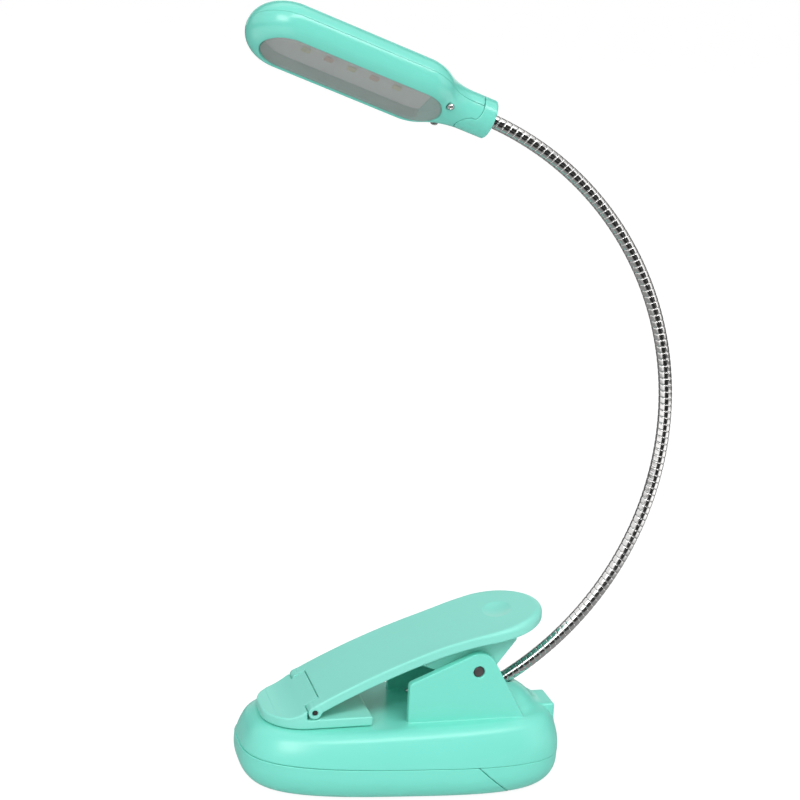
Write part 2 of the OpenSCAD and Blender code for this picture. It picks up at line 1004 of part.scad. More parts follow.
module neck_link_0() {
    color("silver")
        wound(root_angle, joint_angle(1), false, true, turns_per_link - 2);
}
module neck_link_1() { neck_link(1); }
module neck_link_2() { neck_link(2); }
module neck_link_3() { neck_link(3); }
module neck_link_4() { neck_link(4); }
module neck_link_5() { neck_link(5); }
module neck_link_6() { neck_link(6); }
module neck_link_7() { neck_link(7); }
module neck_link_8() {
    color("silver") {
        wound(joint_angle(8), end_angle, true, false, turns_per_link, 0.5);
        on_head()
            translate([-grip_len, 0, 0])
                rotate([0, 90, 0])
                    cylinder(r = neck_r, h = grip_len + 0.3);
    }
}

// ---- Head ----

// The head's own frame: X along it toward the collar's mouth, window facing -Z
module on_head() {
    translate([collar_at[0], 0, collar_at[1]])
        rotate([0, head_rise, 0])
            rotate([-head_roll, 0, 0])
                children();
}

// Half width of the head's outline at x, set in by d
function half_width(x, d) =
    let (
        tip_at = tip_x + half_w,
        change = shoulder_x + (s_r - d) * sin(s_angle)
    )
    x < tip_at ? sqrt(max(0, pow(half_w - d, 2) - pow(x - tip_at, 2))) :
    x < shoulder_x ? half_w - d :
    x < change ? half_w - s_r + sqrt(pow(s_r - d, 2) - pow(x - shoulder_x, 2)) :
    x < -collar_len ? collar_r + s_r - sqrt(pow(s_r + d, 2) - pow(x + collar_len, 2)) :
    collar_r - d;

// Half thickness of the head's body at x, easing down to the collar's
function half_thick(x) =
    let (u = min(1, max(0, (x - shoulder_x) / shoulder_len)))
    collar_r + (half_t - collar_r) * (1 + cos(180 * u)) / 2;

// Section of the head at x: a plate with fully rounded edges, set in from the surface by t
function head_ring(x, t, n) =
    let (
        h = half_thick(x) - t,
        nose = min(h, x - tip_x - t),
        reach = sqrt(h * h - pow(h - nose, 2))
    )
    [
        for (i = [0:n - 1])
            let (
                a = 360 * (i + 0.5) / n,
                z = reach * sin(a),
                d = t + h - sqrt(h * h - z * z)
            )
            [x, sign(cos(a)) * half_width(x, d), z]
    ];

// The head's form, set in by t, up to x = x_end
module head_form(t, x_end, steps, n) {
    r = half_w - t;
    skin([
        for (k = [0:steps])
            let (a = 6 + 84 * k / steps)
            head_ring(tip_x + t + r * (1 - cos(a)), t, n),
        if (x_end <= shoulder_x)
            head_ring(x_end, t, n)
        else
            for (k = [0:steps])
                head_ring(shoulder_x + (min(x_end, -collar_len) - shoulder_x) * k / steps, t, n),
        if (x_end > -collar_len)
            head_ring(x_end, t, n)
    ]);
}

module window_plan(inset) {
    r = window_w / 2 - inset;
    x0 = window_x + window_w / 2;
    x1 = window_x + window_len - window_w / 2;
    polygon([[x0, -r], [x1, -r], [x1, r], [x0, r]]);
    wedge([x0, 0], r, 90, 270);
    wedge([x1, 0], r, -90, 90);
}

// The window side of the head, up to the collar's stepped joint, with a gap around it
module front_region(gap) {
    r = seam_tongue_w / 2 + gap;
    x = seam_ring - tongue_reach + seam_tongue_w / 2;
    difference() {
        translate([tip_x - 5, -head_w, -head_t - gap])
            cube([seam_ring - gap - tip_x + 5, 2 * head_w, head_t]);
        translate([x, 0, -head_t - 1])
            cylinder(r = r, h = head_t + 2);
        translate([x, -r, -head_t - 1])
            cube([2 * tongue_reach, 2 * r, head_t + 2]);
    }
}

// The space for the light, and the channel that its wires come through
module head_hollow() {
    head_form(head_wall, hollow_end, 5, 16);
    translate([hollow_end - 1, 0, 0])
        rotate([0, 90, 0])
            cylinder(r = neck_r + 0.6, h = -grip_len - hollow_end + 1);
}

module head_screw_holes(shank, head) {
    both_sides()
        translate([head_screw_at[0], head_screw_at[1], 0]) {
            translate([0, 0, -half_t])
                cylinder(r = shank, h = head_t);
            translate([0, 0, -head_t])
                cylinder(r = head, h = head_t - half_t + head_screw_depth);
        }
}

module head_back_shell() {
    color("mediumaquamarine")
        on_head()
            difference() {
                head_form(0, 0, 8, head_ring_n);
                front_region(0);
                difference() {
                    head_hollow();
                    for (x = [window_x + 10, window_x + window_len - 10])
                        translate([x, 0, -led_board_z])
                            cylinder(r = post_r, h = head_t);
                }
                translate([-grip_len - joint_gap, 0, 0])
                    rotate([0, 90, 0])
                        cylinder(r = neck_r + run, h = grip_len + 1);
                both_sides()
                    translate([head_screw_at[0], head_screw_at[1], -1])
                        cylinder(d = head_screw_d, h = head_screw_bite + 2);
            }
}

module head_front_frame() {
    color("mediumaquamarine")
        on_head()
            difference() {
                intersection() {
                    head_form(0, -1, 8, head_ring_n);
                    front_region(joint_gap);
                }
                head_hollow();
                translate([0, 0, -head_t])
                    linear_extrude(head_t)
                        window_plan(0);
                head_screw_holes(head_screw_d / 2 + run, head_screw_head_d / 2 + run);
            }
}

module diffuser() {
    color("lightgray", 0.5)
        on_head()
            translate([0, 0, window_depth - half_t])
                linear_extrude(lens_t)
                    window_plan(joint_gap / 2);
}

module led_board() {
    color("white")
        on_head()
            translate([0, 0, -led_board_z - led_board_t])
                linear_extrude(led_board_t)
                    window_plan(led_board_inset);
}

module leds() {
    color("khaki")
        on_head()
            for (i = [0:led_count - 1])
                translate([
                    led_mid + (i - (led_count - 1) / 2) * led_pitch - led_size[0] / 2,
                    -led_size[1] / 2,
                    -led_board_z - led_board_t - led_size[2]
                ])
                    cube(led_size);
}

module head_screws() {
    color("silver")
        on_head()
            both_sides()
                translate([head_screw_at[0], head_screw_at[1], head_screw_sink - half_t]) {
                    cylinder(d = head_screw_head_d, h = head_screw_depth - head_screw_sink);
                    cylinder(d = head_screw_d, h = half_t + head_screw_bite - head_screw_sink);
                }
}

upper_shell();
lower_shell();
battery_door();
battery_tray();
tray_screws();
cell_1();
cell_2();
cell_3();
contact_springs();
contact_plates();
main_board();
usb_socket();
push_switch();
switch_plunger();
power_button();
case_screws();
main_pin();
spring_coils();
spring_bridge();
clip_lever();
pad_pin();
jaw_pad();
neck_set_screw();
neck_link_0();
neck_link_1();
neck_link_2();
neck_link_3();
neck_link_4();
neck_link_5();
neck_link_6();
neck_link_7();
neck_link_8();
head_back_shell();
head_front_frame();
diffuser();
led_board();
leds();
head_screws();
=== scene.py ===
import json
import math

import bpy
import numpy as np
from mathutils import Matrix, Vector


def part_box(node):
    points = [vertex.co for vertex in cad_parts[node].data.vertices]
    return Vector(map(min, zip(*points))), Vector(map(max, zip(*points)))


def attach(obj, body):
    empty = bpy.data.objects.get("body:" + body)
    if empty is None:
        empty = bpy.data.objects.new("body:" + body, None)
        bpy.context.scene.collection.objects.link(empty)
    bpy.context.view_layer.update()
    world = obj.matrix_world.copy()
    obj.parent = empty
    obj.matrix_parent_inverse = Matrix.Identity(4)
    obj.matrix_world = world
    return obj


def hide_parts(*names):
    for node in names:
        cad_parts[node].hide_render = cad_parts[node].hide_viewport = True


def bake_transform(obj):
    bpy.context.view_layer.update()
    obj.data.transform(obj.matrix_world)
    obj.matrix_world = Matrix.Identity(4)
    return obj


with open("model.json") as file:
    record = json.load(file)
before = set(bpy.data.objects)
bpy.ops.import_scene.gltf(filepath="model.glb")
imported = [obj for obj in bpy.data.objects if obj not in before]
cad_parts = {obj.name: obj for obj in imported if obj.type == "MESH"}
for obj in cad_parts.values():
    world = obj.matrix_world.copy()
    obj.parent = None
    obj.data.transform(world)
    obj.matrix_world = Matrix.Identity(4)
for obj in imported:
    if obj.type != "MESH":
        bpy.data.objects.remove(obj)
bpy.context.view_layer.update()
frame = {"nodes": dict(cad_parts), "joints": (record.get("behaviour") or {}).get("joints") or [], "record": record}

# -------- sizes, in millimetres

MM = 0.001
JOINTS = {j["name"]: j for j in frame["joints"]}


def box_mm(node):
    low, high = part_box(node)
    return np.array(low) / MM, np.array(high) / MM


def joint_mm(name):
    return np.array(JOINTS[name]["pos_m"]) / MM


RUN = 0.05            # clearance of a pin in its bore
GAP = 0.2             # closed joint between moulded parts
SLACK = 0.3           # parts that move past each other
WALL = 2.0            # wall of the base
HALF_SEAM = 0.05      # how far a shell stops short of the joint with the next one
MOUTH_EDGE = 0.35     # rounding at the mouth of an opening
FAR = 30.0            # past the end of any form

# Base: a super-ellipse pebble cut at SEAM_Z, with a deck that is tilted about the middle of that cut
BASE_X = box_mm("lower_shell")[1][0]
BASE_Y = box_mm("battery_door")[1][1]
SEAM_Z = box_mm("lower_shell")[1][2] + GAP / 2
PLAN_POWER = 3.06
DECK_RISE = 10.5
DECK_TILT = math.radians(3)
SOLE_R = 9.0
FLANK_R = 19.0
BROW_R = 5.0
BROW_ANGLE = math.radians(30)
CAP_H = (FLANK_R - BROW_R) * math.sin(BROW_ANGLE) + BROW_R
DOOR_X = 19.3
DOOR_SLANT = math.radians(50)
DOOR_EDGE = 0.2
GRIP_LINES, GRIP_X, GRIP_PITCH, GRIP_HALF = 5, -36, 2.5, 8

# Clip, in the deck's frame: u along the deck, y across, w above it
PIN_R = 1.6
EAR_IN, EAR_OUT, EAR_R = 11.6, 14.2, 5.7
EAR_X, EAR_FRONT_H, EAR_BACK_X, CORNER_R = -0.5, 12.1, 35.6, 1.6
EAR_EDGE, EAR_FILLET = 0.45, 0.35
MOUND_U, MOUND_W, MOUND_R, MOUND_FILLET = 29.9, -8.0, 15.0, 1.6
BLOCK_END, BLOCK_LEN, BLOCK_W, BLOCK_EDGE, BLOCK_FILLET = BASE_X - 1.2, 14.0, 11.8, 0.9, 0.5
LEVER_HALF, THUMB_R, FLARE_U, LEVER_END = 15.1, 16.9, 11.0, 42.6
ARCH_R, LEVER_RISE, LEVER_OVER = 236.0, math.radians(15.2), 12.0
SKIRT_H, LEVER_T, LEVER_WALL = 2.9, 1.8, 1.8
FLANGE_IN, FLANGE_OUT, FLANGE_R = 9.1, 11.3, 4.4
KNUCKLE_R, TONGUE_W = 1.9, 20.5
DIMPLE_U, DIMPLE_LEN, DIMPLE_W, DIMPLE_DEPTH = 8.7, 8.4, 11.6, 0.75
PAD_FRONT, PAD_BACK, PAD_HALF, PAD_T, PAD_CORNER = 42.5, 11.3, 14.8, 2.9, 12.6
PAD_PIN_R = 0.75
RAMP_SLOPE, RAMP_R = math.radians(33), 12.0
COIL_WIRE, COIL_Y = 1.2, 2.2          # spring wire, and where its coils start on each side

# Neck
NECK_R = 2.0
NECK_LINKS = 8
TURNS_PER_LINK = 12
BULGE = 0.06                          # how far a turn of wire falls off toward its edges
GROOVE_FROM, GROOVE_DEPTH = 0.85, 0.15
FIRST_SWEEP, LAST_SWEEP, ROOT_SWEEP = math.radians(6), math.radians(15.1), math.radians(8.4)

# Head, in its own frame: x toward the collar's mouth, window facing -z
HEAD_LEN, HEAD_HALF, HEAD_HALF_T = 73.8, 12.2, 6.0
HEAD_RISE, HEAD_ROLL = math.radians(17.5), math.radians(32)
COLLAR_R, COLLAR_LEN, SHOULDER_LEN = 5.65, 7.3, 16.5
HEAD_WALL, HOLLOW_END = 1.4, -19.0
WINDOW_LEN, WINDOW_W, WINDOW_TIP, WINDOW_DEPTH = 53.8, 16.3, 5.1, 0.5
SEAM_RING, TONGUE_REACH, SEAM_TONGUE_W, SEAM_EDGE = -4.2, 5.6, 7.2, 0.13
HEAD_SCREW = (-14.0, 5.4)
LED_COUNT, LED_PITCH = 5, 6.9
LED_MID = -HEAD_LEN + WINDOW_TIP + WINDOW_LEN / 2 - 0.6


def deck_matrix():
    """Takes a point (u, y, w) over the deck to the lamp's frame."""
    turn = Matrix.Rotation(-DECK_TILT, 4, "Y")
    return Matrix.Translation((0, 0, SEAM_Z)) @ turn @ Matrix.Translation((0, 0, DECK_RISE))


DECK = deck_matrix()


def to_deck(x, z):
    """Deck coordinates u and w of a point of the side view."""
    c, s = math.cos(DECK_TILT), math.sin(DECK_TILT)
    return x * c + (z - SEAM_Z) * s, (z - SEAM_Z) * c - x * s - DECK_RISE


PIN_U, PIN_W = to_deck(joint_mm("clip_lever_hinge")[0], joint_mm("clip_lever_hinge")[2])
PAD_PIN_U, PAD_PIN_W = to_deck(joint_mm("jaw_pad_hinge")[0], joint_mm("jaw_pad_hinge")[2])
ARCH_U = PIN_U + ARCH_R * math.sin(LEVER_RISE)
ARCH_W = PIN_W + LEVER_OVER - ARCH_R * math.cos(LEVER_RISE)


def circle_through(a, b, c):
    """Centre (x, z) of the circle through three points of the side view."""
    rows = np.array([[p[0] - a[0], p[2] - a[2]] for p in (b, c)])
    squares = np.array([p[0] ** 2 + p[2] ** 2 - a[0] ** 2 - a[2] ** 2 for p in (b, c)])
    return np.linalg.solve(2 * rows, squares)


def neck_joint(i):
    return next(j for name, j in JOINTS.items() if name.startswith("neck_") and name.endswith(f"_{i}"))


NECK_JOINTS = [neck_joint(i) for i in range(1, NECK_LINKS + 1)]
NECK_AT = [np.array(j["pos_m"]) / MM for j in NECK_JOINTS]
BEND_X, BEND_Z = circle_through(NECK_AT[0], NECK_AT[3], NECK_AT[7])
BEND_R = math.hypot(NECK_AT[0][0] - BEND_X, NECK_AT[0][2] - BEND_Z)
BEND_ANGLES = [math.atan2(p[2] - BEND_Z, p[0] - BEND_X) for p in NECK_AT]
LINK_SWEEP = BEND_ANGLES[1] - BEND_ANGLES[0]
CLEAR_ANGLE = BEND_ANGLES[0] - FIRST_SWEEP
ROOT_ANGLE = CLEAR_ANGLE - ROOT_SWEEP
END_ANGLE = BEND_ANGLES[-1] + LAST_SWEEP


def bend_point(a, r=BEND_R):
    return np.array([BEND_X + r * math.cos(a), 0.0, BEND_Z + r * math.sin(a)])


HEAD = (Matrix.Translation(Vector(bend_point(END_ANGLE)))
        @ Matrix.Rotation(HEAD_RISE, 4, "Y") @ Matrix.Rotation(-HEAD_ROLL, 4, "X"))

# -------- distance functions
# Each takes arrays of coordinates in millimetres and gives about the distance to a form:
# negative inside it. Forms are joined and cut with rounded edges, as moulded parts are.


def join(a, b, r=0.0):
    """Union, with a fillet of radius r."""
    if r == 0:
        return np.minimum(a, b)
    return np.maximum(r, np.minimum(a, b)) - np.hypot(np.maximum(r - a, 0), np.maximum(r - b, 0))


def meet(a, b, r=0.0):
    """Intersection, with an edge rounded to radius r."""
    if np.isscalar(r) and r == 0:
        return np.maximum(a, b)
    return np.minimum(-r, np.maximum(a, b)) + np.hypot(np.maximum(r + a, 0), np.maximum(r + b, 0))


def cut(a, b, r=0.0):
    return meet(a, -b, r)


def blend_low(a, b, k):
    """The lower of two fields that cross at a shallow angle, eased over a difference of k."""
    ease = np.maximum(k - np.abs(a - b), 0)
    return np.minimum(a, b) - ease * ease / (4 * k)


def polygon_distance(x, y, points):
    """Distance to a closed polygon, negative inside."""
    best, inside = np.inf, False
    for (ax, ay), (bx, by) in zip(points, points[1:] + points[:1]):
        ex, ey = bx - ax, by - ay
        px, py = x - ax, y - ay
        t = np.clip((px * ex + py * ey) / (ex * ex + ey * ey), 0, 1)
        d = (px - t * ex) ** 2 + (py - t * ey) ** 2
        left = px * ey < ex * py if by > ay else px * ey > ex * py
        crosses = ((ay > y) != (by > y)) & left
        best = np.minimum(best, d)
        inside = inside ^ crosses
    return np.where(inside, -1, 1) * np.sqrt(best)


def arc_points(centre, r, a0, a1, steps):
    angles = [a0 + (a1 - a0) * k / steps for k in range(steps + 1)]
    return [(centre[0] + r * math.cos(a), centre[1] + r * math.sin(a)) for a in angles]


def tangent_angle(p, c, r, side):
    return math.atan2(p[1] - c[1], p[0] - c[0]) + side * math.acos(r / math.dist(p, c))


def box_distance(x, y, z, centre, half, r):
    """A block with all edges rounded to radius r."""
    q = [np.abs(v - c) - h + r for v, c, h in zip((x, y, z), centre, half)]
    outside = np.sqrt(sum(np.maximum(v, 0) ** 2 for v in q))
    return outside + np.minimum(np.maximum(np.maximum(q[0], q[1]), q[2]), 0) - r


def capsule_distance(x, y, x0, x1, r):
    """A stadium from x0 to x1, both ends round."""
    mid, half = (x0 + x1) / 2, (x1 - x0) / 2 - r
    return np.hypot(np.maximum(np.abs(x - mid) - half, 0), y) - r


def plan_inset(x, y):
    """How far inside the base's outline (x, y) lies; negative outside."""
    x, y = np.broadcast_arrays(np.abs(x), np.abs(y))
    if x.size > LARGE_BLOCK:
        return table_inset(x, y)
    return solve_inset(x, y)


def solve_inset(x, y):
    """The inset by Newton's method, kept short of the base's middle line."""
    deepest = BASE_Y - 0.4
    scale = ((x / BASE_X) ** PLAN_POWER + (y / BASE_Y) ** PLAN_POWER) ** (1 / PLAN_POWER)
    d = BASE_Y * (1 - scale)
    for _ in range(7):
        d = np.minimum(d, deepest)
        a = (x / (BASE_X - d)) ** PLAN_POWER
        b = (y / (BASE_Y - d)) ** PLAN_POWER
        total = np.maximum(a + b, 1e-9)
        inverse = total ** (-1 / PLAN_POWER)
        slope = -inverse / total * (a / (BASE_X - d) + b / (BASE_Y - d))
        d = d - np.clip((inverse - 1) / np.minimum(slope, -1e-4), -8, 8)
    return np.minimum(d, deepest)


LARGE_BLOCK = 600000
TABLE_STEP = 0.25
TABLE_X = np.arange(0, BASE_X + 8, TABLE_STEP)
TABLE_Y = np.arange(0, BASE_Y + 8, TABLE_STEP)
TABLE_D = solve_inset(TABLE_X[:, None] + 1e-6, TABLE_Y[None, :] + 1e-6)


def table_inset(x, y):
    """The same, read off a grid: quick, for the first rough sampling of a large block."""
    i = np.clip(x / TABLE_STEP, 0, len(TABLE_X) - 1.001)
    j = np.clip(y / TABLE_STEP, 0, len(TABLE_Y) - 1.001)
    i0, j0 = i.astype(np.int32), j.astype(np.int32)
    fi, fj = i - i0, j - j0
    return ((TABLE_D[i0, j0] * (1 - fi) + TABLE_D[i0 + 1, j0] * fi) * (1 - fj)
            + (TABLE_D[i0, j0 + 1] * (1 - fi) + TABLE_D[i0 + 1, j0 + 1] * fi) * fj)


# -------- meshing


def surface_net(f, axes):
    """Vertices and quads of the zero level of f, sampled on a grid with the given axes."""
    inside = f < 0
    nx, ny, nz = f.shape
    offsets = np.array([(i, j, k) for i in (0, 1) for j in (0, 1) for k in (0, 1)])
    count = sum(inside[i:nx - 1 + i, j:ny - 1 + j, k:nz - 1 + k].astype(np.int8) for i, j, k in offsets)
    cells = np.argwhere((count > 0) & (count < 8))
    number = np.full((nx - 1, ny - 1, nz - 1), -1, np.int32)
    number[tuple(cells.T)] = np.arange(len(cells))
    at = cells[:, None, :] + offsets[None]
    value = f[at[..., 0], at[..., 1], at[..., 2]]
    place = np.stack([axes[d][at[..., d]] for d in range(3)], -1)
    total = np.zeros((len(cells), 3))
    hits = np.zeros(len(cells))
    for a in range(8):
        for b in range(a + 1, 8):
            if np.abs(offsets[a] - offsets[b]).sum() != 1:
                continue
            crosses = (value[:, a] < 0) != (value[:, b] < 0)
            t = np.where(crosses, value[:, a] / np.where(crosses, value[:, a] - value[:, b], 1), 0)
            total += np.where(crosses[:, None], place[:, a] + t[:, None] * (place[:, b] - place[:, a]), 0)
            hits += crosses
    verts = total / hits[:, None]
    quads = []
    for d in range(3):
        e, g = (d + 1) % 3, (d + 2) % 3
        low = [slice(None)] * 3
        high = [slice(None)] * 3
        low[d], high[d] = slice(0, -1), slice(1, None)
        change = inside[tuple(low)] != inside[tuple(high)]
        p = np.argwhere(change)
        p = p[(p[:, e] > 0) & (p[:, g] > 0) & (p[:, e] < f.shape[e] - 1) & (p[:, g] < f.shape[g] - 1)]
        corners = []
        for de, dg in ((0, 0), (1, 0), (1, 1), (0, 1)):
            q = p.copy()
            q[:, e] -= de
            q[:, g] -= dg
            corners.append(number[tuple(q.T)])
        quad = np.stack(corners, 1)
        outward = inside[tuple(p.T)]
        quads.append(np.where(outward[:, None], quad, quad[:, ::-1]))
    return verts, np.concatenate(quads)


def gradient(fn, p, h=0.03):
    g = np.empty_like(p)
    for d in range(3):
        step = np.zeros(3)
        step[d] = h
        g[:, d] = (fn(*(p + step).T) - fn(*(p - step).T)) / (2 * h)
    return g


def axis_lines(low, high, step, fine=()):
    """Grid lines, closer together near the places named in fine."""
    lines = list(np.arange(low, high + step, step))
    for place in fine:
        lines += list(np.arange(place - 2 * step, place + 2 * step, step / 4))
    lines = np.unique(np.round(lines, 5))
    keep = [lines[0]]
    for v in lines[1:]:
        if v - keep[-1] > step / 6:
            keep.append(v)
    return np.array(keep)


def form_mesh(name, fn, low, high, step, matrix=Matrix(), fine_z=()):
    """A smooth mesh of the form fn, sampled in its own frame and placed by matrix."""
    axes = [axis_lines(low[d], high[d], step, fine_z if d == 2 else ()) for d in range(3)]
    f = fn(axes[0][:, None, None], axes[1][None, :, None], axes[2][None, None, :])
    f = np.broadcast_to(f, tuple(len(a) for a in axes))
    verts, quads = surface_net(f, axes)
    for _ in range(3):
        g = gradient(fn, verts)
        size = np.maximum((g * g).sum(1), 0.05)
        move = g * (fn(*verts.T) / size)[:, None]
        length = np.linalg.norm(move, axis=1, keepdims=True)
        verts = verts - move * np.minimum(1, 0.4 * step / np.maximum(length, 1e-9))
    normals = gradient(fn, verts)
    return mesh_object(name, verts, quads, normals, matrix)


def new_object(name, data):
    obj = bpy.data.objects.new(name, data)
    bpy.context.scene.collection.objects.link(obj)
    return obj


def mesh_object(name, verts, faces, normals=None, matrix=Matrix()):
    mesh = bpy.data.meshes.new(name)
    m = np.array(matrix)
    placed = (np.asarray(verts) @ m[:3, :3].T + m[:3, 3]) * MM
    mesh.from_pydata(placed.tolist(), [], [list(map(int, f)) for f in faces])
    mesh.validate()
    mesh.shade_smooth()
    if normals is not None:
        n = np.asarray(normals) @ m[:3, :3].T
        n /= np.maximum(np.linalg.norm(n, axis=1, keepdims=True), 1e-9)
        mesh.normals_split_custom_set_from_vertices(n.tolist())
    return new_object(name, mesh)


def unit_circle(steps):
    return arc_points((0, 0), 1, 0, 2 * math.pi, steps)[:-1]


def tube_faces(rings, sides):
    """Faces of a closed tube whose points come ring by ring."""
    faces = []
    for i in range(rings - 1):
        for k in range(sides):
            a, b = i * sides + k, i * sides + (k + 1) % sides
            faces.append((a, b, b + sides, a + sides))
    faces.append(list(range(sides))[::-1])
    faces.append([(rings - 1) * sides + k for k in range(sides)])
    return faces


def lathe(name, profile, matrix, steps=64):
    """A turned piece: profile is (radius, height) pairs, closed on its axis at both ends."""
    verts = [(r * c, r * s, h) for r, h in profile for c, s in unit_circle(steps)]
    obj = mesh_object(name, verts, tube_faces(len(profile), steps), None, matrix)
    obj.data.set_sharp_from_angle(angle=math.radians(40))
    return obj


def sweep(name, path, r, matrix, sides=14):
    """A round wire along a path of points, with domed ends."""
    path = np.asarray(path, float)
    tangents = np.gradient(path, axis=0)
    tangents /= np.linalg.norm(tangents, axis=1, keepdims=True)
    side = np.cross(tangents[0], (0.3, 1.0, 0.1))
    side /= np.linalg.norm(side)
    rings = []
    for p, t in zip(path, tangents):
        side = side - t * side.dot(t)
        side /= np.linalg.norm(side)
        other = np.cross(t, side)
        rings.append((p, side.copy(), other, r))
    first, last = rings[0], rings[-1]
    caps = [(0.35, 0.94), (0.75, 0.66), (0.97, 0.25)]      # how far out each ring lies, and its radius
    start = [(first[0] - tangents[0] * r * d, first[1], first[2], r * s) for d, s in reversed(caps)]
    end = [(last[0] + tangents[-1] * r * d, last[1], last[2], r * s) for d, s in caps]
    rings = start + rings + end
    verts = [p + radius * (u * c + v * s) for p, u, v, radius in rings for c, s in unit_circle(sides)]
    return mesh_object(name, verts, tube_faces(len(rings), sides), None, matrix)


# -------- forms of the base


def cap_form(u, y, w):
    """The upper half of the pebble, over the deck's frame."""
    d = plan_inset(u, y)
    brow_d = FLANK_R - (FLANK_R - BROW_R) * math.cos(BROW_ANGLE)
    brow = np.hypot(brow_d - d, w + BROW_R) - BROW_R
    flank = np.hypot(FLANK_R - d, w + CAP_H) - FLANK_R
    angle = np.arctan2(w + BROW_R, brow_d - d)
    side = np.where(angle >= BROW_ANGLE, brow, flank)
    side = np.where(d > brow_d, w, side)
    return np.where(w < -CAP_H, np.maximum(-d, w), side)


def tub_form(x, y, z):
    """The lower half of the pebble."""
    return meet(-plan_inset(x, y), -z, SOLE_R)


def mound_form(u, y, w):
    return np.sqrt((u - MOUND_U) ** 2 + y ** 2 + (w - MOUND_W) ** 2) - MOUND_R


def block_form(u, y, w):
    half = (BLOCK_LEN / 2, BLOCK_W / 2, 10)
    centre = (BLOCK_END - BLOCK_LEN / 2, 0, -10)
    return box_distance(u, y, w, centre, half, BLOCK_EDGE)


def ear_points():
    """Side view of an ear: a short rounded corner in front and a round top about the pin."""
    pin = (PIN_U, PIN_W)
    front, back = (EAR_X, EAR_FRONT_H), (EAR_BACK_X, -1.0)
    a0 = tangent_angle(back, pin, EAR_R, 1)
    a1 = tangent_angle(front, pin, EAR_R, -1) + 2 * math.pi
    lean = a1 % (2 * math.pi)
    share = CORNER_R / (1 - math.cos(lean))
    corner = (EAR_X + share * (1 - math.cos(lean)), EAR_FRONT_H - share * math.sin(lean))
    foot = -3.0
    front_corner = arc_points(corner, CORNER_R, math.pi, lean, 8)
    top = arc_points(pin, EAR_R, a1, a0, 28)
    return [(EAR_X, foot)] + front_corner + top + [back, (EAR_BACK_X, foot)]


def slab(y, inner, outer):
    """Two plates, one on each side."""
    return np.abs(np.abs(y) - (inner + outer) / 2) - (outer - inner) / 2


def neck_tube(x, y, z, r):
    return np.hypot(np.hypot(x - BEND_X, z - BEND_Z) - BEND_R, y) - r


def above_root(x, z):
    """Positive beyond the lower end of the neck's socket."""
    a = np.arctan2(z - BEND_Z, x - BEND_X)
    return (a - ROOT_ANGLE) * BEND_R


def base_top_form(x, y, z):
    u, w = to_deck(x, z)
    cap = cap_form(u, y, w)
    mound = mound_form(u, y, w)
    block = block_form(u, y, w)
    outline = polygon_distance(u, w, ear_points())
    ears = meet(outline, slab(y, EAR_IN, EAR_OUT), EAR_EDGE)
    body = join(join(cap, mound, MOUND_FILLET), block, BLOCK_FILLET)
    body = join(body, ears, EAR_FILLET)
    inner = np.minimum(np.minimum(cap, mound), block) + WALL
    socket_wall, pin_play, neck_play, button_play = 1.7, 0.12, 0.18, 0.14
    socket = meet(neck_tube(x, y, z, NECK_R + socket_wall), -above_root(x, z))
    inner = cut(inner, socket)
    body = cut(body, inner)
    body = meet(body, SEAM_Z + HALF_SEAM - z, 0.14)
    body = cut(body, np.hypot(u - PIN_U, w - PIN_W) - PIN_R - pin_play, 0.25)
    throat = meet(neck_tube(x, y, z, NECK_R + neck_play), -above_root(x, z) - 1)
    body = cut(body, throat, 0.5)
    port = box_distance(x, y, z, (BLOCK_END, 0, PORT_Z), (PORT_DEPTH, PORT_HALF_W, PORT_HALF_H), PORT_R)
    body = cut(body, port, MOUTH_EDGE)
    bore = np.hypot(x - BUTTON_X, z - BUTTON_Z) - BUTTON_R - button_play
    return cut(body, np.maximum(bore, BUTTON_FROM_Y - y), MOUTH_EDGE)


def door_plane(x, z):
    """Positive on the lower shell's side of the door's slanted end."""
    return (x - DOOR_X - (SEAM_Z - z) * math.tan(DOOR_SLANT)) * math.cos(DOOR_SLANT)


def bottom_shell(x, y, z):
    outer = tub_form(x, y, z)
    outer = meet(outer, z - SEAM_Z + 0.06, 0.22)
    return cut(outer, tub_form(x, y, z) + WALL)


def lower_form(x, y, z):
    boss_r, head_r, head_depth, shank_r = 2.8, 2.15, 2.8, 1.2
    body = meet(bottom_shell(x, y, z), HALF_SEAM - door_plane(x, z), DOOR_EDGE)
    hole = np.hypot(x - CASE_SCREW[0], np.abs(y) - CASE_SCREW[1])
    boss = np.maximum(np.maximum(hole - boss_r, z - SEAM_Z + 0.1), 0.5 - z)
    body = join(body, boss, 0.5)
    body = cut(body, np.maximum(hole - head_r, z - head_depth), 0.3)
    return cut(body, hole - shank_r)


def door_form(x, y, z):
    """The battery door, with grip lines across its underside."""
    body = meet(bottom_shell(x, y, z), HALF_SEAM + door_plane(x, z), DOOR_EDGE)
    for k in range(GRIP_LINES):
        groove = np.hypot(x - GRIP_X - GRIP_PITCH * k, z + 0.35) - 0.8
        body = cut(body, np.maximum(groove, np.abs(y) - GRIP_HALF), 0.2)
    return body


# -------- forms of the clip


def lever_depth(u, w):
    """Height over the lever's arched top; negative below it."""
    return np.hypot(u - ARCH_U, w - ARCH_W) - ARCH_R


def lever_outline(u, y):
    y = np.abs(y)
    centre = LEVER_END - THUMB_R
    a = tangent_angle((FLARE_U, LEVER_HALF), (centre, 0), THUMB_R, -1)
    line = (u - centre) * math.cos(a) + y * math.sin(a) - THUMB_R
    sides = blend_low(y - LEVER_HALF, line, 0.5)
    round_end = np.hypot(u - centre, y) - THUMB_R
    return np.where(np.arctan2(y, u - centre) < a, round_end, sides)


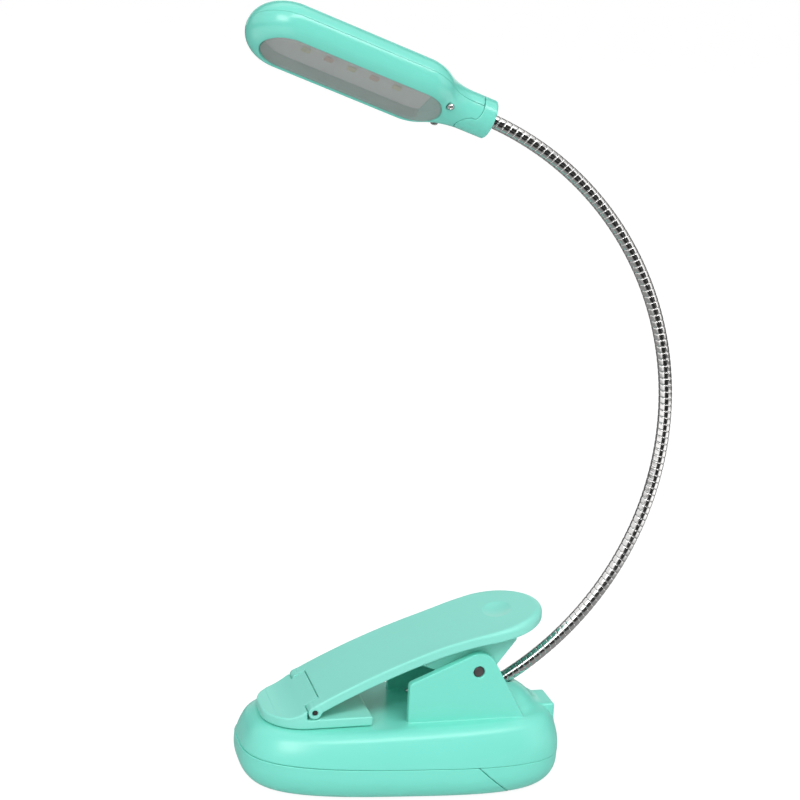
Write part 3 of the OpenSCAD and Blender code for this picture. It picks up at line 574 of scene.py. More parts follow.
def flange_points():
    """Side view of a lever flange, up into the lever's top."""
    pin = (PIN_U, PIN_W)
    front, back = (PIN_U - 16.5, PIN_W + 1.7), (PIN_U + 11.9, PIN_W + 8.4)
    a0 = tangent_angle(front, pin, FLANGE_R, 1)
    a1 = tangent_angle(back, pin, FLANGE_R, -1) + 2 * math.pi
    top = [(back[0] + 2, back[1] + 12), (front[0] - 1, front[1] + 12)]
    return [front] + arc_points(pin, FLANGE_R, a0, a1, 20) + [back] + top


def lever_form(u, y, w):
    top = lever_depth(u, w)
    bowl = 1 - ((u - PIN_U - DIMPLE_U) / (DIMPLE_LEN / 2)) ** 2 - (y / (DIMPLE_W / 2)) ** 2
    top_dished = top + DIMPLE_DEPTH * (bowl + np.sqrt(bowl * bowl + 0.004)) / 2
    outline = lever_outline(u, y)
    # Toward the thumb end the skirt deepens and its edge grows rounder
    thumb = np.clip((u - 18) / 20, 0, 1)
    skirt = SKIRT_H + 0.9 * thumb * thumb * (3 - 2 * thumb)
    body = meet(top_dished, outline, 0.7 + 1.5 * thumb)
    body = meet(body, -top - skirt, 0.35)
    body = meet(body, PAD_PIN_U - u, 0.1)
    knuckle = meet(np.hypot(u - PAD_PIN_U, w - PAD_PIN_W) - KNUCKLE_R, outline, 0.3)
    body = join(body, knuckle, 0.5)
    pocket = meet(outline + LEVER_WALL, top + LEVER_T, 0.8)
    pocket = np.maximum(pocket, PAD_PIN_U + KNUCKLE_R + 2.2 - u)
    body = cut(body, pocket, 0.3)
    plates = polygon_distance(u, w, flange_points())
    plates = meet(plates, slab(y, FLANGE_IN, FLANGE_OUT), 0.3)
    body = join(body, np.maximum(plates, top + LEVER_T / 2), 0.4)
    slot = np.maximum(np.abs(y) - TONGUE_W / 2 - GAP, u - PAD_PIN_U - KNUCKLE_R)
    body = cut(body, slot, 0.18)
    body = cut(body, np.hypot(u - PIN_U, w - PIN_W) - PIN_R - RUN, 0.15)
    return cut(body, np.hypot(u - PAD_PIN_U, w - PAD_PIN_W) - PAD_PIN_R - 0.1, 0.2)


def ramp_points():
    """Side view of the pad's hinge end: a hollow ramp up to the lever's top."""
    top = GAP + PAD_T
    crest = (PAD_PIN_U + 1.7, PAD_PIN_W + 3.1)
    foot = (crest[0] - (crest[1] - top) / math.tan(RAMP_SLOPE), top)
    reach = RAMP_R * math.tan(RAMP_SLOPE / 2)
    start = (foot[0] - reach, top)
    hollow = arc_points((start[0], top + RAMP_R), RAMP_R, -math.pi / 2, -math.pi / 2 + RAMP_SLOPE, 16)
    return [(start[0], top - 1)] + hollow + [crest, (crest[0], top - 1)]


def pad_form(u, y, w):
    corner = PAD_CORNER
    left = np.maximum(-(u + PAD_FRONT), np.abs(y) - PAD_HALF)
    at_corner = (u < -PAD_FRONT + corner) & (np.abs(y) > PAD_HALF - corner)
    rounded = np.hypot(u + PAD_FRONT - corner, np.abs(y) - PAD_HALF + corner) - corner
    plan = meet(np.where(at_corner, rounded, left), u + PAD_BACK, 0.4)
    plate = np.abs(w - GAP - PAD_T / 2) - PAD_T / 2
    ramp = polygon_distance(u, w, ramp_points())
    cheeks = np.maximum(ramp, u - PAD_PIN_U + KNUCKLE_R + GAP)
    tongue = np.maximum(ramp, np.abs(y) - TONGUE_W / 2)
    body = join(plate, join(cheeks, tongue), 0.3)
    body = meet(body, plan, 0.55)
    return cut(body, np.hypot(u - PAD_PIN_U, w - PAD_PIN_W) - PAD_PIN_R - 0.1)


# -------- forms of the head


def head_outline(x, y):
    """Plan of the head: a round tip, straight sides, S shoulders and the collar."""
    y = np.abs(y)
    angle = 2 * math.atan((HEAD_HALF - COLLAR_R) / SHOULDER_LEN)
    r = SHOULDER_LEN / (2 * math.sin(angle))
    tip_x, shoulder_x = -HEAD_LEN + HEAD_HALF, -COLLAR_LEN - SHOULDER_LEN
    c1 = (shoulder_x, HEAD_HALF - r)
    c2 = (-COLLAR_LEN, COLLAR_R + r)
    past = (x - c1[0]) * (c2[1] - c1[1]) - (y - c1[1]) * (c2[0] - c1[0]) < 0
    shoulder = np.where(past, np.hypot(x - c1[0], y - c1[1]) - r, r - np.hypot(x - c2[0], y - c2[1]))
    d = np.where(x < tip_x, np.hypot(x - tip_x, y) - HEAD_HALF, y - HEAD_HALF)
    d = np.where(x >= shoulder_x, shoulder, d)
    return np.where(x >= -COLLAR_LEN, y - COLLAR_R, d)


def head_half_thick(x):
    u = np.clip((x + COLLAR_LEN + SHOULDER_LEN) / SHOULDER_LEN, 0, 1)
    return COLLAR_R + (HEAD_HALF_T - COLLAR_R) * (1 + np.cos(math.pi * u)) / 2


def head_body(x, y, z):
    h = head_half_thick(x)
    d = head_outline(x, y)
    return np.minimum(np.maximum(d + h, np.abs(z)), 0) + np.hypot(np.maximum(d + h, 0), z) - h


def window_form(x, y, inset=0.0):
    x0 = -HEAD_LEN + WINDOW_TIP
    return capsule_distance(x, y, x0 + inset, x0 + WINDOW_LEN - inset, WINDOW_W / 2 - inset)


def seam_side(x, y, z):
    """Negative on the window side of the joint between the head's two shells."""
    x_end = SEAM_RING - TONGUE_REACH
    tongue = capsule_distance(x, y, x_end, FAR, SEAM_TONGUE_W / 2)
    front = meet(x - SEAM_RING, -tongue, 2.2)
    return np.maximum(z, front)


def head_shell(x, y, z):
    body = meet(head_body(x, y, z), x, 0.5)
    hollow = np.maximum(head_body(x, y, z) + HEAD_WALL, x - HOLLOW_END)
    body = cut(body, hollow)
    return cut(body, np.maximum(np.hypot(y, z) - NECK_R - 0.25, -x - 6), 0.35)


def seam_weight(x):
    """Share of the full seam: it is crisp at the collar and nearly closed along the head."""
    return np.clip((x - SEAM_RING + TONGUE_REACH + 2) / 2, 0.1, 1)


def head_half(x, y, z, side):
    """The head on one side of its seam: -1 is the back shell, and 1 the front frame."""
    weight = seam_weight(x)
    return meet(head_shell(x, y, z), HALF_SEAM * weight + side * seam_side(x, y, z), SEAM_EDGE * weight)


def head_back_form(x, y, z):
    body = head_half(x, y, z, -1)
    ring = np.maximum(np.maximum(np.abs(x - SEAM_RING) - 0.07, -head_body(x, y, z) - 0.2), -z)
    return cut(body, ring, 0.06)


def head_front_form(x, y, z):
    body = head_half(x, y, z, 1)
    window = np.maximum(window_form(x, y), z + 2)
    body = cut(body, window, 0.5)
    hole = np.hypot(x - HEAD_SCREW[0], np.abs(y) - HEAD_SCREW[1])
    return cut(body, np.maximum(hole - 1.2, z + 3.8), 0.25)


def lens_form(x, y, z):
    """The window: a plate with a softened edge, a little crowned."""
    crown = 0.22 * np.clip(1 - (y / (WINDOW_W / 2)) ** 2, 0, 1)
    plate = np.abs(z + HEAD_HALF_T - WINDOW_DEPTH - 0.6) - 0.6 + 0.22 - crown
    return meet(plate, window_form(x, y, 0.1), 0.15)


def cross_screw(r, height, depth):
    """A pan head with a cross recess, its face up at z = 0."""
    def form(x, y, z):
        head = meet(np.hypot(x, y) - r, np.abs(z + height / 2) - height / 2, 0.25 * r)
        arm = 0.16 * r + 0.06
        cross = np.minimum(np.maximum(np.abs(x) - arm, np.abs(y) - 0.66 * r),
                           np.maximum(np.abs(y) - arm, np.abs(x) - 0.66 * r))
        taper = cross + 0.35 * (-z)
        return cut(head, np.maximum(taper, -depth - z), 0.05)
    return form


# -------- places taken from the frame

port_low, port_high = box_mm("usb_socket")
PORT_Z = (port_low[2] + port_high[2]) / 2
PORT_HALF_W = (port_high[1] - port_low[1]) / 2 + 0.1
PORT_HALF_H = (port_high[2] - port_low[2]) / 2 + 0.1
button_low, button_high = box_mm("power_button")
BUTTON_X, BUTTON_Z = (button_low[0] + button_high[0]) / 2, (button_low[2] + button_high[2]) / 2
PORT_DEPTH, PORT_R = 5, 0.9
BUTTON_R, BUTTON_FROM_Y = 3.0, 15
BUTTON_FLANGE = button_high[1] - 1 - WALL - 2.9
screw_low, screw_high = box_mm("case_screws")
CASE_SCREW = ((screw_low[0] + screw_high[0]) / 2, screw_high[1] - 2.0)

# -------- materials


def srgb(r, g, b):
    """Linear colour of an sRGB triple given from 0 to 255."""
    parts = (r / 255, g / 255, b / 255)
    return tuple(v / 12.92 if v <= 0.04045 else ((v + 0.055) / 1.055) ** 2.4 for v in parts) + (1,)


def grey(level):
    return (level, level, level, 1)


def new_material(name):
    mat = bpy.data.materials.new(name)
    mat.use_nodes = True
    return mat, mat.node_tree, mat.node_tree.nodes["Principled BSDF"]


def join_in(tree, value, socket):
    """Feeds a socket from another one, or sets it to a constant."""
    if isinstance(value, bpy.types.NodeSocket):
        tree.links.new(value, socket)
    else:
        socket.default_value = value


def node(tree, kind, **inputs):
    n = tree.nodes.new(kind)
    for key, value in inputs.items():
        join_in(tree, value, n.inputs[key.replace("_", " ")])
    return n


def noise(tree, scale, detail=3.0, stretch=(1, 1, 1)):
    """Noise over the piece's own coordinates; scale is in waves per metre."""
    own = tree.nodes.new("ShaderNodeTexCoord").outputs["Object"]
    place = node(tree, "ShaderNodeMapping", Scale=stretch, Vector=own).outputs["Vector"]
    return node(tree, "ShaderNodeTexNoise", Scale=scale, Detail=detail, Vector=place).outputs["Fac"]


def colour_between(tree, factor, low, high, a, b):
    ramp = tree.nodes.new("ShaderNodeValToRGB")
    ramp.color_ramp.elements[0].position = low
    ramp.color_ramp.elements[0].color = a
    ramp.color_ramp.elements[1].position = high
    ramp.color_ramp.elements[1].color = b
    tree.links.new(factor, ramp.inputs["Fac"])
    return ramp.outputs["Color"]


def mix_colour(tree, factor, a, b):
    mix = tree.nodes.new("ShaderNodeMix")
    mix.data_type = "RGBA"
    tree.links.new(factor, mix.inputs["Factor"])
    first, second = [i for i in mix.inputs if i.type == "RGBA"]
    join_in(tree, a, first)
    join_in(tree, b, second)
    return next(o for o in mix.outputs if o.type == "RGBA")


def mix_shaders(tree, factor, a, b):
    mix = tree.nodes.new("ShaderNodeMixShader")
    for value, socket in zip((factor, a, b), mix.inputs):
        tree.links.new(value, socket)
    return mix.outputs[0]


def maths(tree, operation, *values, kind="ShaderNodeMath"):
    n = tree.nodes.new(kind)
    n.operation = operation
    for value, socket in zip(values, n.inputs):
        join_in(tree, value, socket)
    return n.outputs["Value"]


def value_between(tree, factor, a, b, low=0.3, high=0.7):
    m = node(tree, "ShaderNodeMapRange", Value=factor, From_Min=low, From_Max=high, To_Min=a, To_Max=b)
    return m.outputs["Result"]


def surface(tree, shader, colour, rough, height, strength, distance=0.00002):
    """Feeds a shader's colour, roughness and fine relief."""
    relief = node(tree, "ShaderNodeBump", Strength=strength, Distance=distance, Height=height)
    tree.links.new(colour, shader.inputs["Base Color"])
    tree.links.new(rough, shader.inputs["Roughness"])
    tree.links.new(relief.outputs["Normal"], shader.inputs["Normal"])


def moulded(name, colour, rough=(0.27, 0.34)):
    """Satin moulded plastic: an even colour with a faint cloud in it and a fine spark-eroded skin."""
    mat, tree, shader = new_material(name)
    shift = 0.03
    pale = tuple(min(1, c * (1 + shift)) for c in colour[:3]) + (1,)
    deep = tuple(c * (1 - shift) for c in colour[:3]) + (1,)
    cloud = mix_colour(tree, noise(tree, 25, 1), deep, pale)
    sheen = value_between(tree, noise(tree, 60, 1), *rough, 0.0, 1.0)
    surface(tree, shader, cloud, sheen, noise(tree, 1400, 1), 0.03)
    shader.inputs["IOR"].default_value = 1.5
    return mat


def metal(name, colour, dark, rough=(0.16, 0.26), stretch=(1, 1, 1), metallic=1.0):
    """Drawn or turned metal: fine lines along the stretch, with a little tarnish."""
    mat, tree, shader = new_material(name)
    shader.inputs["Metallic"].default_value = metallic
    lines = noise(tree, 900, 3, stretch)
    tarnish = noise(tree, 220, 4)
    shade = colour_between(tree, tarnish, 0.3, 0.75, dark, colour)
    surface(tree, shader, shade, value_between(tree, lines, *rough), lines, 0.15)
    return mat


def wound_steel(name):
    """Bright wire of the neck. The attribute crown is 1 on top of each turn and 0 in the groove, where the colour
    is painted shade: a darker grey than on the crown.
    """
    mat, tree, shader = new_material(name)
    shader.inputs["Metallic"].default_value = 1.0
    crown = tree.nodes.new("ShaderNodeAttribute")
    crown.attribute_name = "crown"
    groove_painted_shade, crown_tint = srgb(150, 148, 147), srgb(216, 215, 214)
    # Painted shade: the colour darkens from the crown down into the groove
    shade = colour_between(tree, crown.outputs["Fac"], 0.18, 0.62, groove_painted_shade, crown_tint)
    lines = noise(tree, 1500, 3)
    surface(tree, shader, shade, value_between(tree, lines, 0.13, 0.22), lines, 0.1)
    return mat


def smoked_window(name):
    """Lightly frosted window that lets the diodes show faintly."""
    mat, tree, shader = new_material(name)
    haze = colour_between(tree, noise(tree, 90, 4), 0.3, 0.7, srgb(184, 190, 188), srgb(189, 194, 192))
    sheen = value_between(tree, noise(tree, 150, 2), 0.22, 0.26)
    surface(tree, shader, haze, sheen, noise(tree, 900, 2), 0.03)
    shader.inputs["Alpha"].default_value = 0.4
    return mat


def board(name, mask, track):
    """Solder mask with paler tracks under it."""
    mat, tree, shader = new_material(name)
    own = tree.nodes.new("ShaderNodeTexCoord").outputs["Object"]
    lines = node(tree, "ShaderNodeTexBrick", Scale=260.0, Mortar_Size=0.012, Brick_Width=1.4,
                 Row_Height=0.45, Vector=own).outputs["Fac"]
    tracks = colour_between(tree, lines, 0.2, 0.8, mask, track)
    surface(tree, shader, tracks, value_between(tree, noise(tree, 500), 0.28, 0.42), lines, 0.2, 0.00003)
    return mat


mint = moulded("mint_plastic", srgb(124, 226, 208))
clip_mint = moulded("clip_plastic", srgb(139, 228, 212), rough=(0.32, 0.4))
# The head is the same plastic as the base; this darker copy of the mint is painted shade
shaded_head_mint = moulded("head_plastic_shaded_copy", srgb(118, 216, 199), rough=(0.2, 0.26))
neck_steel = wound_steel("wound_steel")
bright_steel = metal("bright_steel", srgb(205, 205, 204), srgb(172, 170, 168))
pin_steel = metal("pin_steel", srgb(104, 98, 99), srgb(66, 60, 60), rough=(0.3, 0.42), metallic=0.4)
window_mat = smoked_window("smoked_window")
tray_plastic = moulded("tray_plastic", srgb(214, 217, 216), rough=(0.42, 0.5))
black_plastic = moulded("black_plastic", srgb(38, 38, 39), rough=(0.4, 0.5))
green_board = board("green_board", srgb(24, 92, 58), srgb(46, 122, 80))
white_board = board("white_board", srgb(240, 238, 236), srgb(226, 225, 223))
jacket = metal("cell_jacket", srgb(176, 178, 178), srgb(150, 152, 152), rough=(0.3, 0.4),
               stretch=(0.1, 1, 1))
yellow_led = moulded("yellow_led", srgb(232, 222, 140), rough=(0.2, 0.3))
orange_led = moulded("orange_led", srgb(236, 166, 134), rough=(0.2, 0.3))

BODY = {n: b for b, members in frame["record"]["behaviour"]["bodies"].items() for n in members}


def stands_for(obj, mat, node_name, first=True):
    """Gives a piece its material and body. The first of several pieces stands for the CAD node."""
    obj.data.materials.clear()
    obj.data.materials.append(mat)
    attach(obj, BODY[node_name])
    if first:
        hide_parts(node_name)


def grown_box(node_name, m=0.8):
    """Corners of a node's box, with room round it for the sampling grid."""
    low, high = box_mm(node_name)
    return [v - m for v in low], [v + m for v in high]


# -------- base

rough_step = 0.48
fine_step = 0.3

for name, form, node_name, fine_at in (
        ("base_top", base_top_form, "upper_shell", SEAM_Z + 0.2),
        ("base_bottom", lower_form, "lower_shell", SEAM_Z - 0.2),
        ("battery_hatch", door_form, "battery_door", SEAM_Z - 0.2)):
    low, high = grown_box(node_name)
    if node_name == "battery_door":
        high[2] = SEAM_Z + 0.8      # the scene's door has no hooks, which stay out of sight
    shell = form_mesh(name, form, low, high, rough_step, fine_z=(fine_at,))
    stands_for(shell, mint, node_name)

# -------- clip

lever = form_mesh("lever", lever_form, (-32, -18, 3), (44, 18, 37), fine_step, DECK)
stands_for(lever, clip_mint, "clip_lever")
pad = form_mesh("grip_pad", pad_form, (-43.5, -15.6, -0.6), (-10.5, 15.6, 9.6), fine_step, DECK)
stands_for(pad, clip_mint, "jaw_pad")


def cross_pin(name, u, w, r, half):
    """A pin across the deck, with a small chamfer and a shallow dish in each end."""
    end = [(0.001, half - 0.12), (r * 0.6, half - 0.06), (r * 0.78, half), (r * 0.86, half),
           (r, half - 0.14 * r)]
    profile = [(radius, -y) for radius, y in end] + end[::-1]
    place = DECK @ Matrix.Translation((u, 0, w)) @ Matrix.Rotation(-math.pi / 2, 4, "X")
    return lathe(name, profile, place)


def helix(y0, pitch, turns, start):
    """Points (u, y, w) of a coil about the main pin, from y0 on, starting at an angle in the side view."""
    steps = int(turns * 40)
    circle = arc_points((PIN_U, PIN_W), COIL_R, start, start + 2 * math.pi * turns, steps)
    return [(u, y0 + pitch * turns * k / steps, w) for k, (u, w) in enumerate(circle)]


COIL_R = PIN_R + SLACK + COIL_WIRE / 2
main_half, pad_half = box_mm("main_pin")[1][1], box_mm("pad_pin")[1][1]
stands_for(cross_pin("hinge_pin", PIN_U, PIN_W, PIN_R, main_half), pin_steel, "main_pin")
stands_for(cross_pin("pad_hinge_pin", PAD_PIN_U, PAD_PIN_W, PAD_PIN_R, pad_half), pin_steel, "pad_pin")


def spring_half(side):
    """One coil and its leg, which leaves the coil on a tangent toward the front of the deck."""
    leg_slope = math.radians(35)
    leave = math.pi / 2 + math.pi + leg_slope
    coil = helix(COIL_Y + COIL_WIRE / 2, 1.13 * COIL_WIRE, 4, leave - 8 * math.pi)
    coil = [(u, side * y, w) for u, y, w in coil]
    u, y, w = coil[-1]
    length = (w - COIL_WIRE / 2 - GAP) / math.sin(leg_slope)
    down = (-math.cos(leg_slope), -math.sin(leg_slope))
    leg = [(u + down[0] * length * k / 8, y, w + down[1] * length * k / 8) for k in range(1, 9)]
    return coil + leg


for side, label in ((-1, "near"), (1, "far")):
    wire = sweep("spring_" + label, spring_half(side), COIL_WIRE / 2 - 0.05, DECK)
    stands_for(wire, bright_steel, "spring_coils", side < 0)


def spring_bridge():
    """The loop between the coils: up to the lever's underside, across it and back down."""
    slope = math.radians(40)
    rise_u, rise_w = math.cos(slope), math.sin(slope)
    y = COIL_Y - COIL_WIRE / 2 - GAP
    leave = slope + math.pi / 2
    u0, w0 = PIN_U + COIL_R * math.cos(leave), PIN_W + COIL_R * math.sin(leave)
    under_lever = -LEVER_T - COIL_WIRE / 2 - GAP / 2
    reach = 0.0
    while lever_depth(np.float64(u0 + reach * rise_u), np.float64(w0 + reach * rise_w)) < under_lever:
        reach += 0.05
    turn = helix(-y, 0, 0.75, leave - 1.5 * math.pi)
    rise = [(u0 + reach * k / 8 * rise_u, -y, w0 + reach * k / 8 * rise_w) for k in range(1, 8)]
    top_u, top_w = u0 + reach * rise_u, w0 + reach * rise_w
    across = []
    for t in np.linspace(0.25, math.pi - 0.25, 12):
        sag = 0.25 * (1 - math.cos(t))
        across.append((top_u - sag, -y * math.cos(t), top_w - sag))
    back = [(u, -v, w) for u, v, w in reversed(turn + rise)]
    return turn + rise + across + back


stands_for(sweep("spring_loop", spring_bridge(), COIL_WIRE / 2 - 0.08, DECK), bright_steel, "spring_bridge")

# -------- neck


def wire_profile(f):
    """Radius of the tube over one turn, f from 0 to 1: flattened wire, and a groove where turns meet."""
    across = np.abs(2 * f - 1)
    groove = np.clip((across - GROOVE_FROM) / (1 - GROOVE_FROM), 0, 1)
    return NECK_R - BULGE * across ** 4 - GROOVE_DEPTH * groove ** 1.5


def neck_piece(name, a0, a1, samples=20, around=32):
    """A stretch of the gooseneck: one wire wound on a core, as a single threaded skin."""
    step = LINK_SWEEP / TURNS_PER_LINK
    count = max(2, int(round((a1 - a0) / step * samples)))
    s = np.linspace(a0, a1, count + 1)
    theta = np.arange(around) * 2 * math.pi / around
    turns = (s[:, None] - CLEAR_ANGLE) / step + theta[None, :] / (2 * math.pi)
    r = wire_profile(turns % 1.0)
    h = 0.01
    slope = (wire_profile((turns + h) % 1.0) - wire_profile((turns - h) % 1.0)) / (2 * h * step * BEND_R)
    radial = np.stack([np.cos(s), 0 * s, np.sin(s)], 1)
    along = np.stack([-np.sin(s), 0 * s, np.cos(s)], 1)
    centre = np.array([BEND_X, 0, BEND_Z]) + BEND_R * radial
    out = np.cos(theta)[None, :, None] * radial[:, None] + np.sin(theta)[None, :, None] * np.array([0, 1, 0])
    verts = (centre[:, None] + r[..., None] * out).reshape(-1, 3)
    normals = (out - np.clip(slope, -3, 3)[..., None] * along[:, None]).reshape(-1, 3)
    i = np.arange(count)[:, None] * around
    k = np.arange(around)[None, :]
    k2 = (k + 1) % around
    quads = np.stack([i + k, i + k2, i + k2 + around, i + k + around], -1).reshape(-1, 4)
    obj = mesh_object(name, verts, quads, normals)
    crown = obj.data.attributes.new("crown", "FLOAT", "POINT")
    height = 1 - (NECK_R - r) / (BULGE + GROOVE_DEPTH)
    crown.data.foreach_set("value", height.reshape(-1).astype(np.float32))
    return obj


for i in range(NECK_LINKS):
    a0 = ROOT_ANGLE + 0.004 if i == 0 else BEND_ANGLES[i] - LINK_SWEEP / 2
    a1 = END_ANGLE + 0.012 if i == NECK_LINKS - 1 else BEND_ANGLES[i] + LINK_SWEEP / 2
    piece = neck_piece(f"gooseneck_{i + 1}", a0, a1)
    piece.data.materials.append(neck_steel)
    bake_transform(piece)
    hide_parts(*([f"neck_link_{i + 1}"] + (["neck_link_0"] if i == 0 else [])))

# -------- head

HEAD_BOX_Y, HEAD_BOX_Z = HEAD_HALF + 1.0, 6.9
for name, form, top, node_name in (
        ("head_back", head_back_form, HEAD_BOX_Z, "head_back_shell"),
        ("head_front", head_front_form, 0.6, "head_front_frame")):
    low, high = (-HEAD_LEN - 0.8, -HEAD_BOX_Y, -HEAD_BOX_Z), (0.8, HEAD_BOX_Y, top)
    shell = form_mesh(name, form, low, high, fine_step, HEAD, fine_z=(0,))
    stands_for(shell, shaded_head_mint, node_name)


def strip_form(x, y, z):
    """The diode strip, a thin plate under the window."""
    return meet(np.abs(z + 1.1) - 0.5, window_form(x, y, 0.4), 0.2)


x0, x1 = -HEAD_LEN + WINDOW_TIP, -HEAD_LEN + WINDOW_TIP + WINDOW_LEN
lens = form_mesh("window", lens_form, (x0 - 0.8, -9, -6.4), (x1 + 0.8, 9, -3.6), fine_step, HEAD)
stands_for(lens, window_mat, "diffuser")
strip = form_mesh("light_strip", strip_form, (x0 - 0.5, -9, -2), (x1 + 0.5, 9, 0), 0.4, HEAD)
stands_for(strip, white_board, "led_board")


def diode_form(x, y, z):
    case = box_distance(x, y, z, (0, 0, -0.35), (1.3, 0.95, 0.35), 0.33)
    dome = np.sqrt(x * x + y * y + (z + 0.45) ** 2 * 3) - 0.9
    return join(case, dome, 0.1)


for i in range(LED_COUNT):
    place = HEAD @ Matrix.Translation((LED_MID + (i - (LED_COUNT - 1) / 2) * LED_PITCH, 0, -1.6))
    diode = form_mesh(f"diode_{i + 1}", diode_form, (-1.8, -1.4, -1.6), (1.8, 1.4, 0.4), 0.12, place)
    stands_for(diode, yellow_led if i % 2 == 0 else orange_led, "leds", i == 0)


def screw_pair(prefix, node_name, form, r, low_z, step, places):
    """A near and a far screw that stand for one node."""
    for label, place in zip(("near", "far"), places):
        screw = form_mesh(f"{prefix}_{label}", form, (-r, -r, low_z), (r, r, 0.3), step, place)
        stands_for(screw, bright_steel, node_name, label == "near")


OVER = Matrix.Rotation(math.pi, 4, "X")      # turns a screw's face downward
head_places = [HEAD @ Matrix.Translation((HEAD_SCREW[0], side * HEAD_SCREW[1], -4.75)) @ OVER
               @ Matrix.Rotation(0.5, 4, "Z") for side in (-1, 1)]
screw_pair("head_screw", "head_screws", cross_screw(1.05, 0.9, 0.5), 1.3, -1.1, 0.06, head_places)

# -------- inside and underside

case_places = [Matrix.Translation((CASE_SCREW[0], side * CASE_SCREW[1], screw_low[2])) @ OVER
               for side in (-1, 1)]
screw_pair("case_screw", "case_screws", cross_screw(2.0, 1.6, 0.9), 2.3, -1.9, 0.1, case_places)


def button_form(x, y, z):
    """Round side button with a dished face, along +z."""
    top = button_high[1]
    dish = np.sqrt(x * x + y * y + (z - top - 11.4) ** 2) - 12
    body = meet(np.hypot(x, y) - BUTTON_R, z - top, 0.6)
    body = np.maximum(body, button_low[1] - z)
    flange = meet(np.hypot(x, y) - BUTTON_R - 0.5, np.abs(z - BUTTON_FLANGE) - 0.5, 0.1)
    return join(cut(body, dish, 0.5), flange, 0.05)


place = Matrix.Translation((BUTTON_X, 0, BUTTON_Z)) @ Matrix.Rotation(-math.pi / 2, 4, "X")
low, high = (-4.2, -4.2, button_low[1] - 0.5), (4.2, 4.2, button_high[1] + 0.5)
stands_for(form_mesh("side_button", button_form, low, high, 0.25, place), mint, "power_button")

PLAIN = {
    "battery_tray": tray_plastic, "tray_screws": bright_steel,
    "cell_1": jacket, "cell_2": jacket, "cell_3": jacket,
    "contact_springs": bright_steel, "contact_plates": bright_steel, "main_board": green_board,
    "usb_socket": bright_steel, "push_switch": black_plastic, "switch_plunger": tray_plastic,
    "neck_set_screw": pin_steel,
}
for name, mat in PLAIN.items():
    data = frame["nodes"][name].data
    data.materials.clear()
    data.materials.append(mat)

# -------- studio

# In millimetres, and unit vectors
CAMERA_AT = (-153.43, -531.65, 246.5)
CAMERA_BACK = (-0.255121, -0.938911, 0.230994)
CAMERA_RIGHT = (0.966392, -0.239791, 0.092665)
CAMERA_LIFT = math.radians(0.034)
CAMERA_LENS = 88.48

# What metal shows round the lamp: the place of each step, from 0 to 1 about the compass, and its level
CARDS = ((0.01, 1.1), (0.45, 1.1), (0.465, 0.02), (0.68, 0.02), (0.7, 0.6), (0.85, 0.6), (0.88, 1.1))
# The same for the floor as metal shows it, between these two distances in metres, each a soft step
FLOOR_CARDS = ((0.02, 0.2), (0.2, 0.12), (0.225, 1.5), (0.485, 1.5), (0.5, 0.02), (0.66, 0.02),
               (0.68, 1.5), (0.81, 1.5), (0.83, 0.1))
FLOOR_NEAR, FLOOR_FAR = (0.16, 0.26), (0.75, 1.0)
# Where the cards give way to the white ceiling, by height of the direction
CEILING = (0.6, 0.68)
# The black ring behind the lamp, by the cosine to the camera's direction
RING_NEAR, RING_FAR = -0.38, -0.78
# The floor's glow to the camera: its strength, and its share beside the lit paper that takes the shadow
GLOW, GLOW_SHARE = 1.17, 0.8


def round_the_lamp(tree, direction):
    """Compass angle of a direction as 0 to 1: 0.5 is toward the camera, and more is to its right."""
    axes = (-CAMERA_BACK[1], CAMERA_BACK[0], 0), (CAMERA_BACK[0], CAMERA_BACK[1], 0)
    parts = [maths(tree, "DOT_PRODUCT", direction, a, kind="ShaderNodeVectorMath") for a in axes]
    return value_between(tree, maths(tree, "ARCTAN2", *parts), 0, 1, -math.pi, math.pi)


def card_ramp(tree, direction, cards):
    """Levels of the cards that stand round the lamp, in one direction."""
    ramp = node(tree, "ShaderNodeValToRGB", Fac=round_the_lamp(tree, direction))
    stops = ramp.color_ramp.elements
    for place, level in cards:
        stop = stops.new(place)
        stop.color = grey(level)
    for end, level in ((stops[0], cards[0][1]), (stops[-1], cards[-1][1])):
        end.color = grey(level)
    return ramp.outputs["Color"]


def stage_floor():
    """A wide pale floor that the camera sees as white, apart from the lamp's own shadow."""
    bpy.ops.mesh.primitive_plane_add(size=40, location=(0, 0, 0))
    floor = bpy.context.object
    floor.name = "floor"
    mat, tree, shader = new_material("floor_paper")
    paper = colour_between(tree, noise(tree, 3), 0.4, 0.6, srgb(236, 236, 236), srgb(238, 238, 238))
    tree.links.new(paper, shader.inputs["Base Color"])
    shader.inputs["Roughness"].default_value = 0.9
    path = tree.nodes.new("ShaderNodeLightPath")
    glow = node(tree, "ShaderNodeEmission", Strength=GLOW)
    seen = maths(tree, "MAXIMUM", path.outputs["Is Camera Ray"], path.outputs["Is Transmission Ray"])
    share = maths(tree, "MULTIPLY", seen, GLOW_SHARE)
    glowing = mix_shaders(tree, share, shader.outputs["BSDF"], glow.outputs["Emission"])
    at = tree.nodes.new("ShaderNodeTexCoord").outputs["Object"]
    away = maths(tree, "LENGTH", at, kind="ShaderNodeVectorMath")
    near, far = [value_between(tree, away, 0, 1, *step) for step in (FLOOR_NEAR, FLOOR_FAR)]
    close = mix_colour(tree, near, grey(0.35), card_ramp(tree, at, FLOOR_CARDS))
    mirrored = node(tree, "ShaderNodeEmission", Strength=1.0, Color=mix_colour(tree, far, close, grey(0.1)))
    shown = mix_shaders(tree, path.outputs["Is Glossy Ray"], glowing, mirrored.outputs["Emission"])
    tree.links.new(shown, tree.nodes["Material Output"].inputs["Surface"])
    floor.data.materials.append(mat)


def background(tree, colour, strength=1.0):
    return node(tree, "ShaderNodeBackground", Color=colour, Strength=strength).outputs[0]


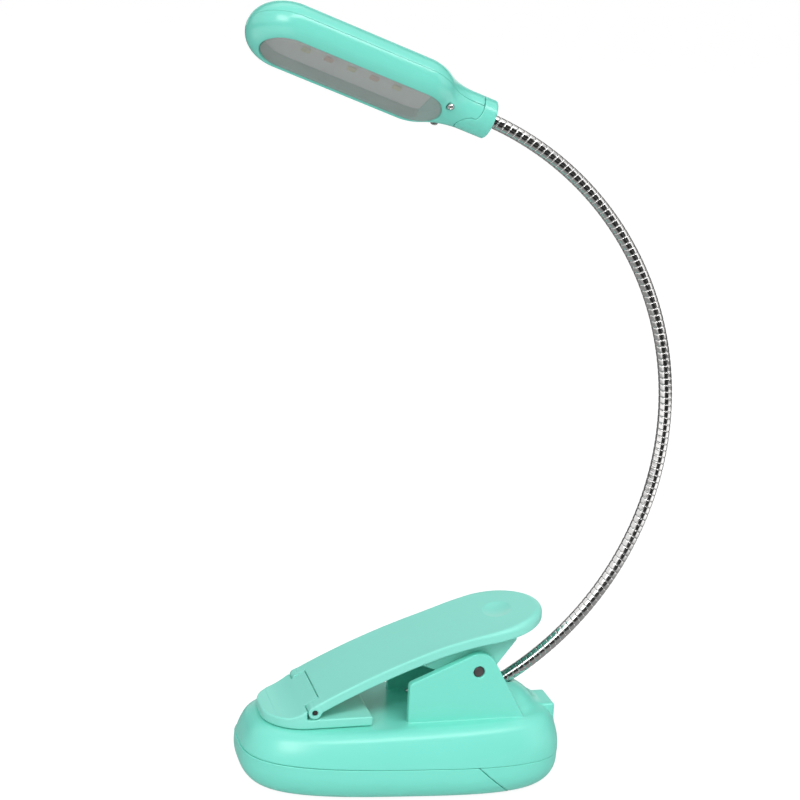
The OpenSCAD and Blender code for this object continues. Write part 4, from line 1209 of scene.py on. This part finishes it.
def studio_world():
    """White to the camera, an even soft sky as light, and white and black cards for metal to show."""
    world = bpy.data.worlds.new("studio")
    bpy.context.scene.world = world
    world.use_nodes = True
    tree = world.node_tree
    tree.nodes.clear()
    direction = tree.nodes.new("ShaderNodeTexCoord").outputs["Generated"]
    height = node(tree, "ShaderNodeSeparateXYZ", Vector=direction).outputs["Z"]
    light = background(tree, colour_between(tree, height, 0.0, 0.6, grey(0.42), grey(0.78)), 0.45)
    low_part = background(tree, card_ramp(tree, direction, CARDS))
    overhead = background(tree, grey(1), 1.1)
    shown = mix_shaders(tree, value_between(tree, height, 0, 1, *CEILING), low_part, overhead)
    toward = maths(tree, "DOT_PRODUCT", direction, CAMERA_BACK, kind="ShaderNodeVectorMath")
    ring = maths(tree, "COMPARE", toward, (RING_NEAR + RING_FAR) / 2, (RING_NEAR - RING_FAR) / 2)
    ringed = mix_shaders(tree, ring, shown, background(tree, grey(0.03)))
    white = background(tree, grey(1))
    path = tree.nodes.new("ShaderNodeLightPath")
    shader = light
    for ray, other in (("Is Glossy Ray", ringed), ("Is Camera Ray", white), ("Is Transmission Ray", white)):
        shader = mix_shaders(tree, path.outputs[ray], shader, other)
    node(tree, "ShaderNodeOutputWorld", Surface=shader)


def soft_light(name, at, towards, size, power):
    """An area lamp of the given size in metres, turned to a point."""
    data = bpy.data.lights.new(name, "AREA")
    data.shape = "RECTANGLE"
    data.size, data.size_y = size
    data.energy = power
    lamp = new_object(name, data)
    lamp.location = at
    lamp.rotation_euler = (Vector(towards) - Vector(at)).to_track_quat("-Z", "Y").to_euler()


def photo_camera():
    """Where the photographed view was taken from, with its slight roll."""
    data = bpy.data.cameras.new("camera")
    data.sensor_width = 36
    data.lens = CAMERA_LENS
    data.clip_start, data.clip_end = 0.01, 100
    camera = new_object("camera", data)
    back = Vector(CAMERA_BACK).normalized()
    right = Vector(CAMERA_RIGHT)
    right = (right - back * right.dot(back)).normalized()
    up = back.cross(right)
    turn = Matrix((right, up, back)).transposed().to_4x4() @ Matrix.Rotation(CAMERA_LIFT, 4, "X")
    camera.matrix_world = Matrix.Translation(Vector(CAMERA_AT) * MM) @ turn
    bpy.context.scene.camera = camera


stage_floor()
studio_world()
soft_light("key", (-0.95, -1.25, 1.02), (0, 0, 0.06), (0.8, 0.8), 13.5)
soft_light("front_top", (0.35, -0.88, 1.36), (0, 0, 0.05), (1.45, 0.38), 11.5)
soft_light("top", (0.0, 0.5, 1.3), (0, 0, 0.05), (1.2, 0.6), 1.8)
soft_light("side", (1.2, -0.55, 0.5), (0, 0, 0.08), (0.5, 0.9), 1.4)
photo_camera()
bpy.context.scene.view_settings.view_transform = "Standard"
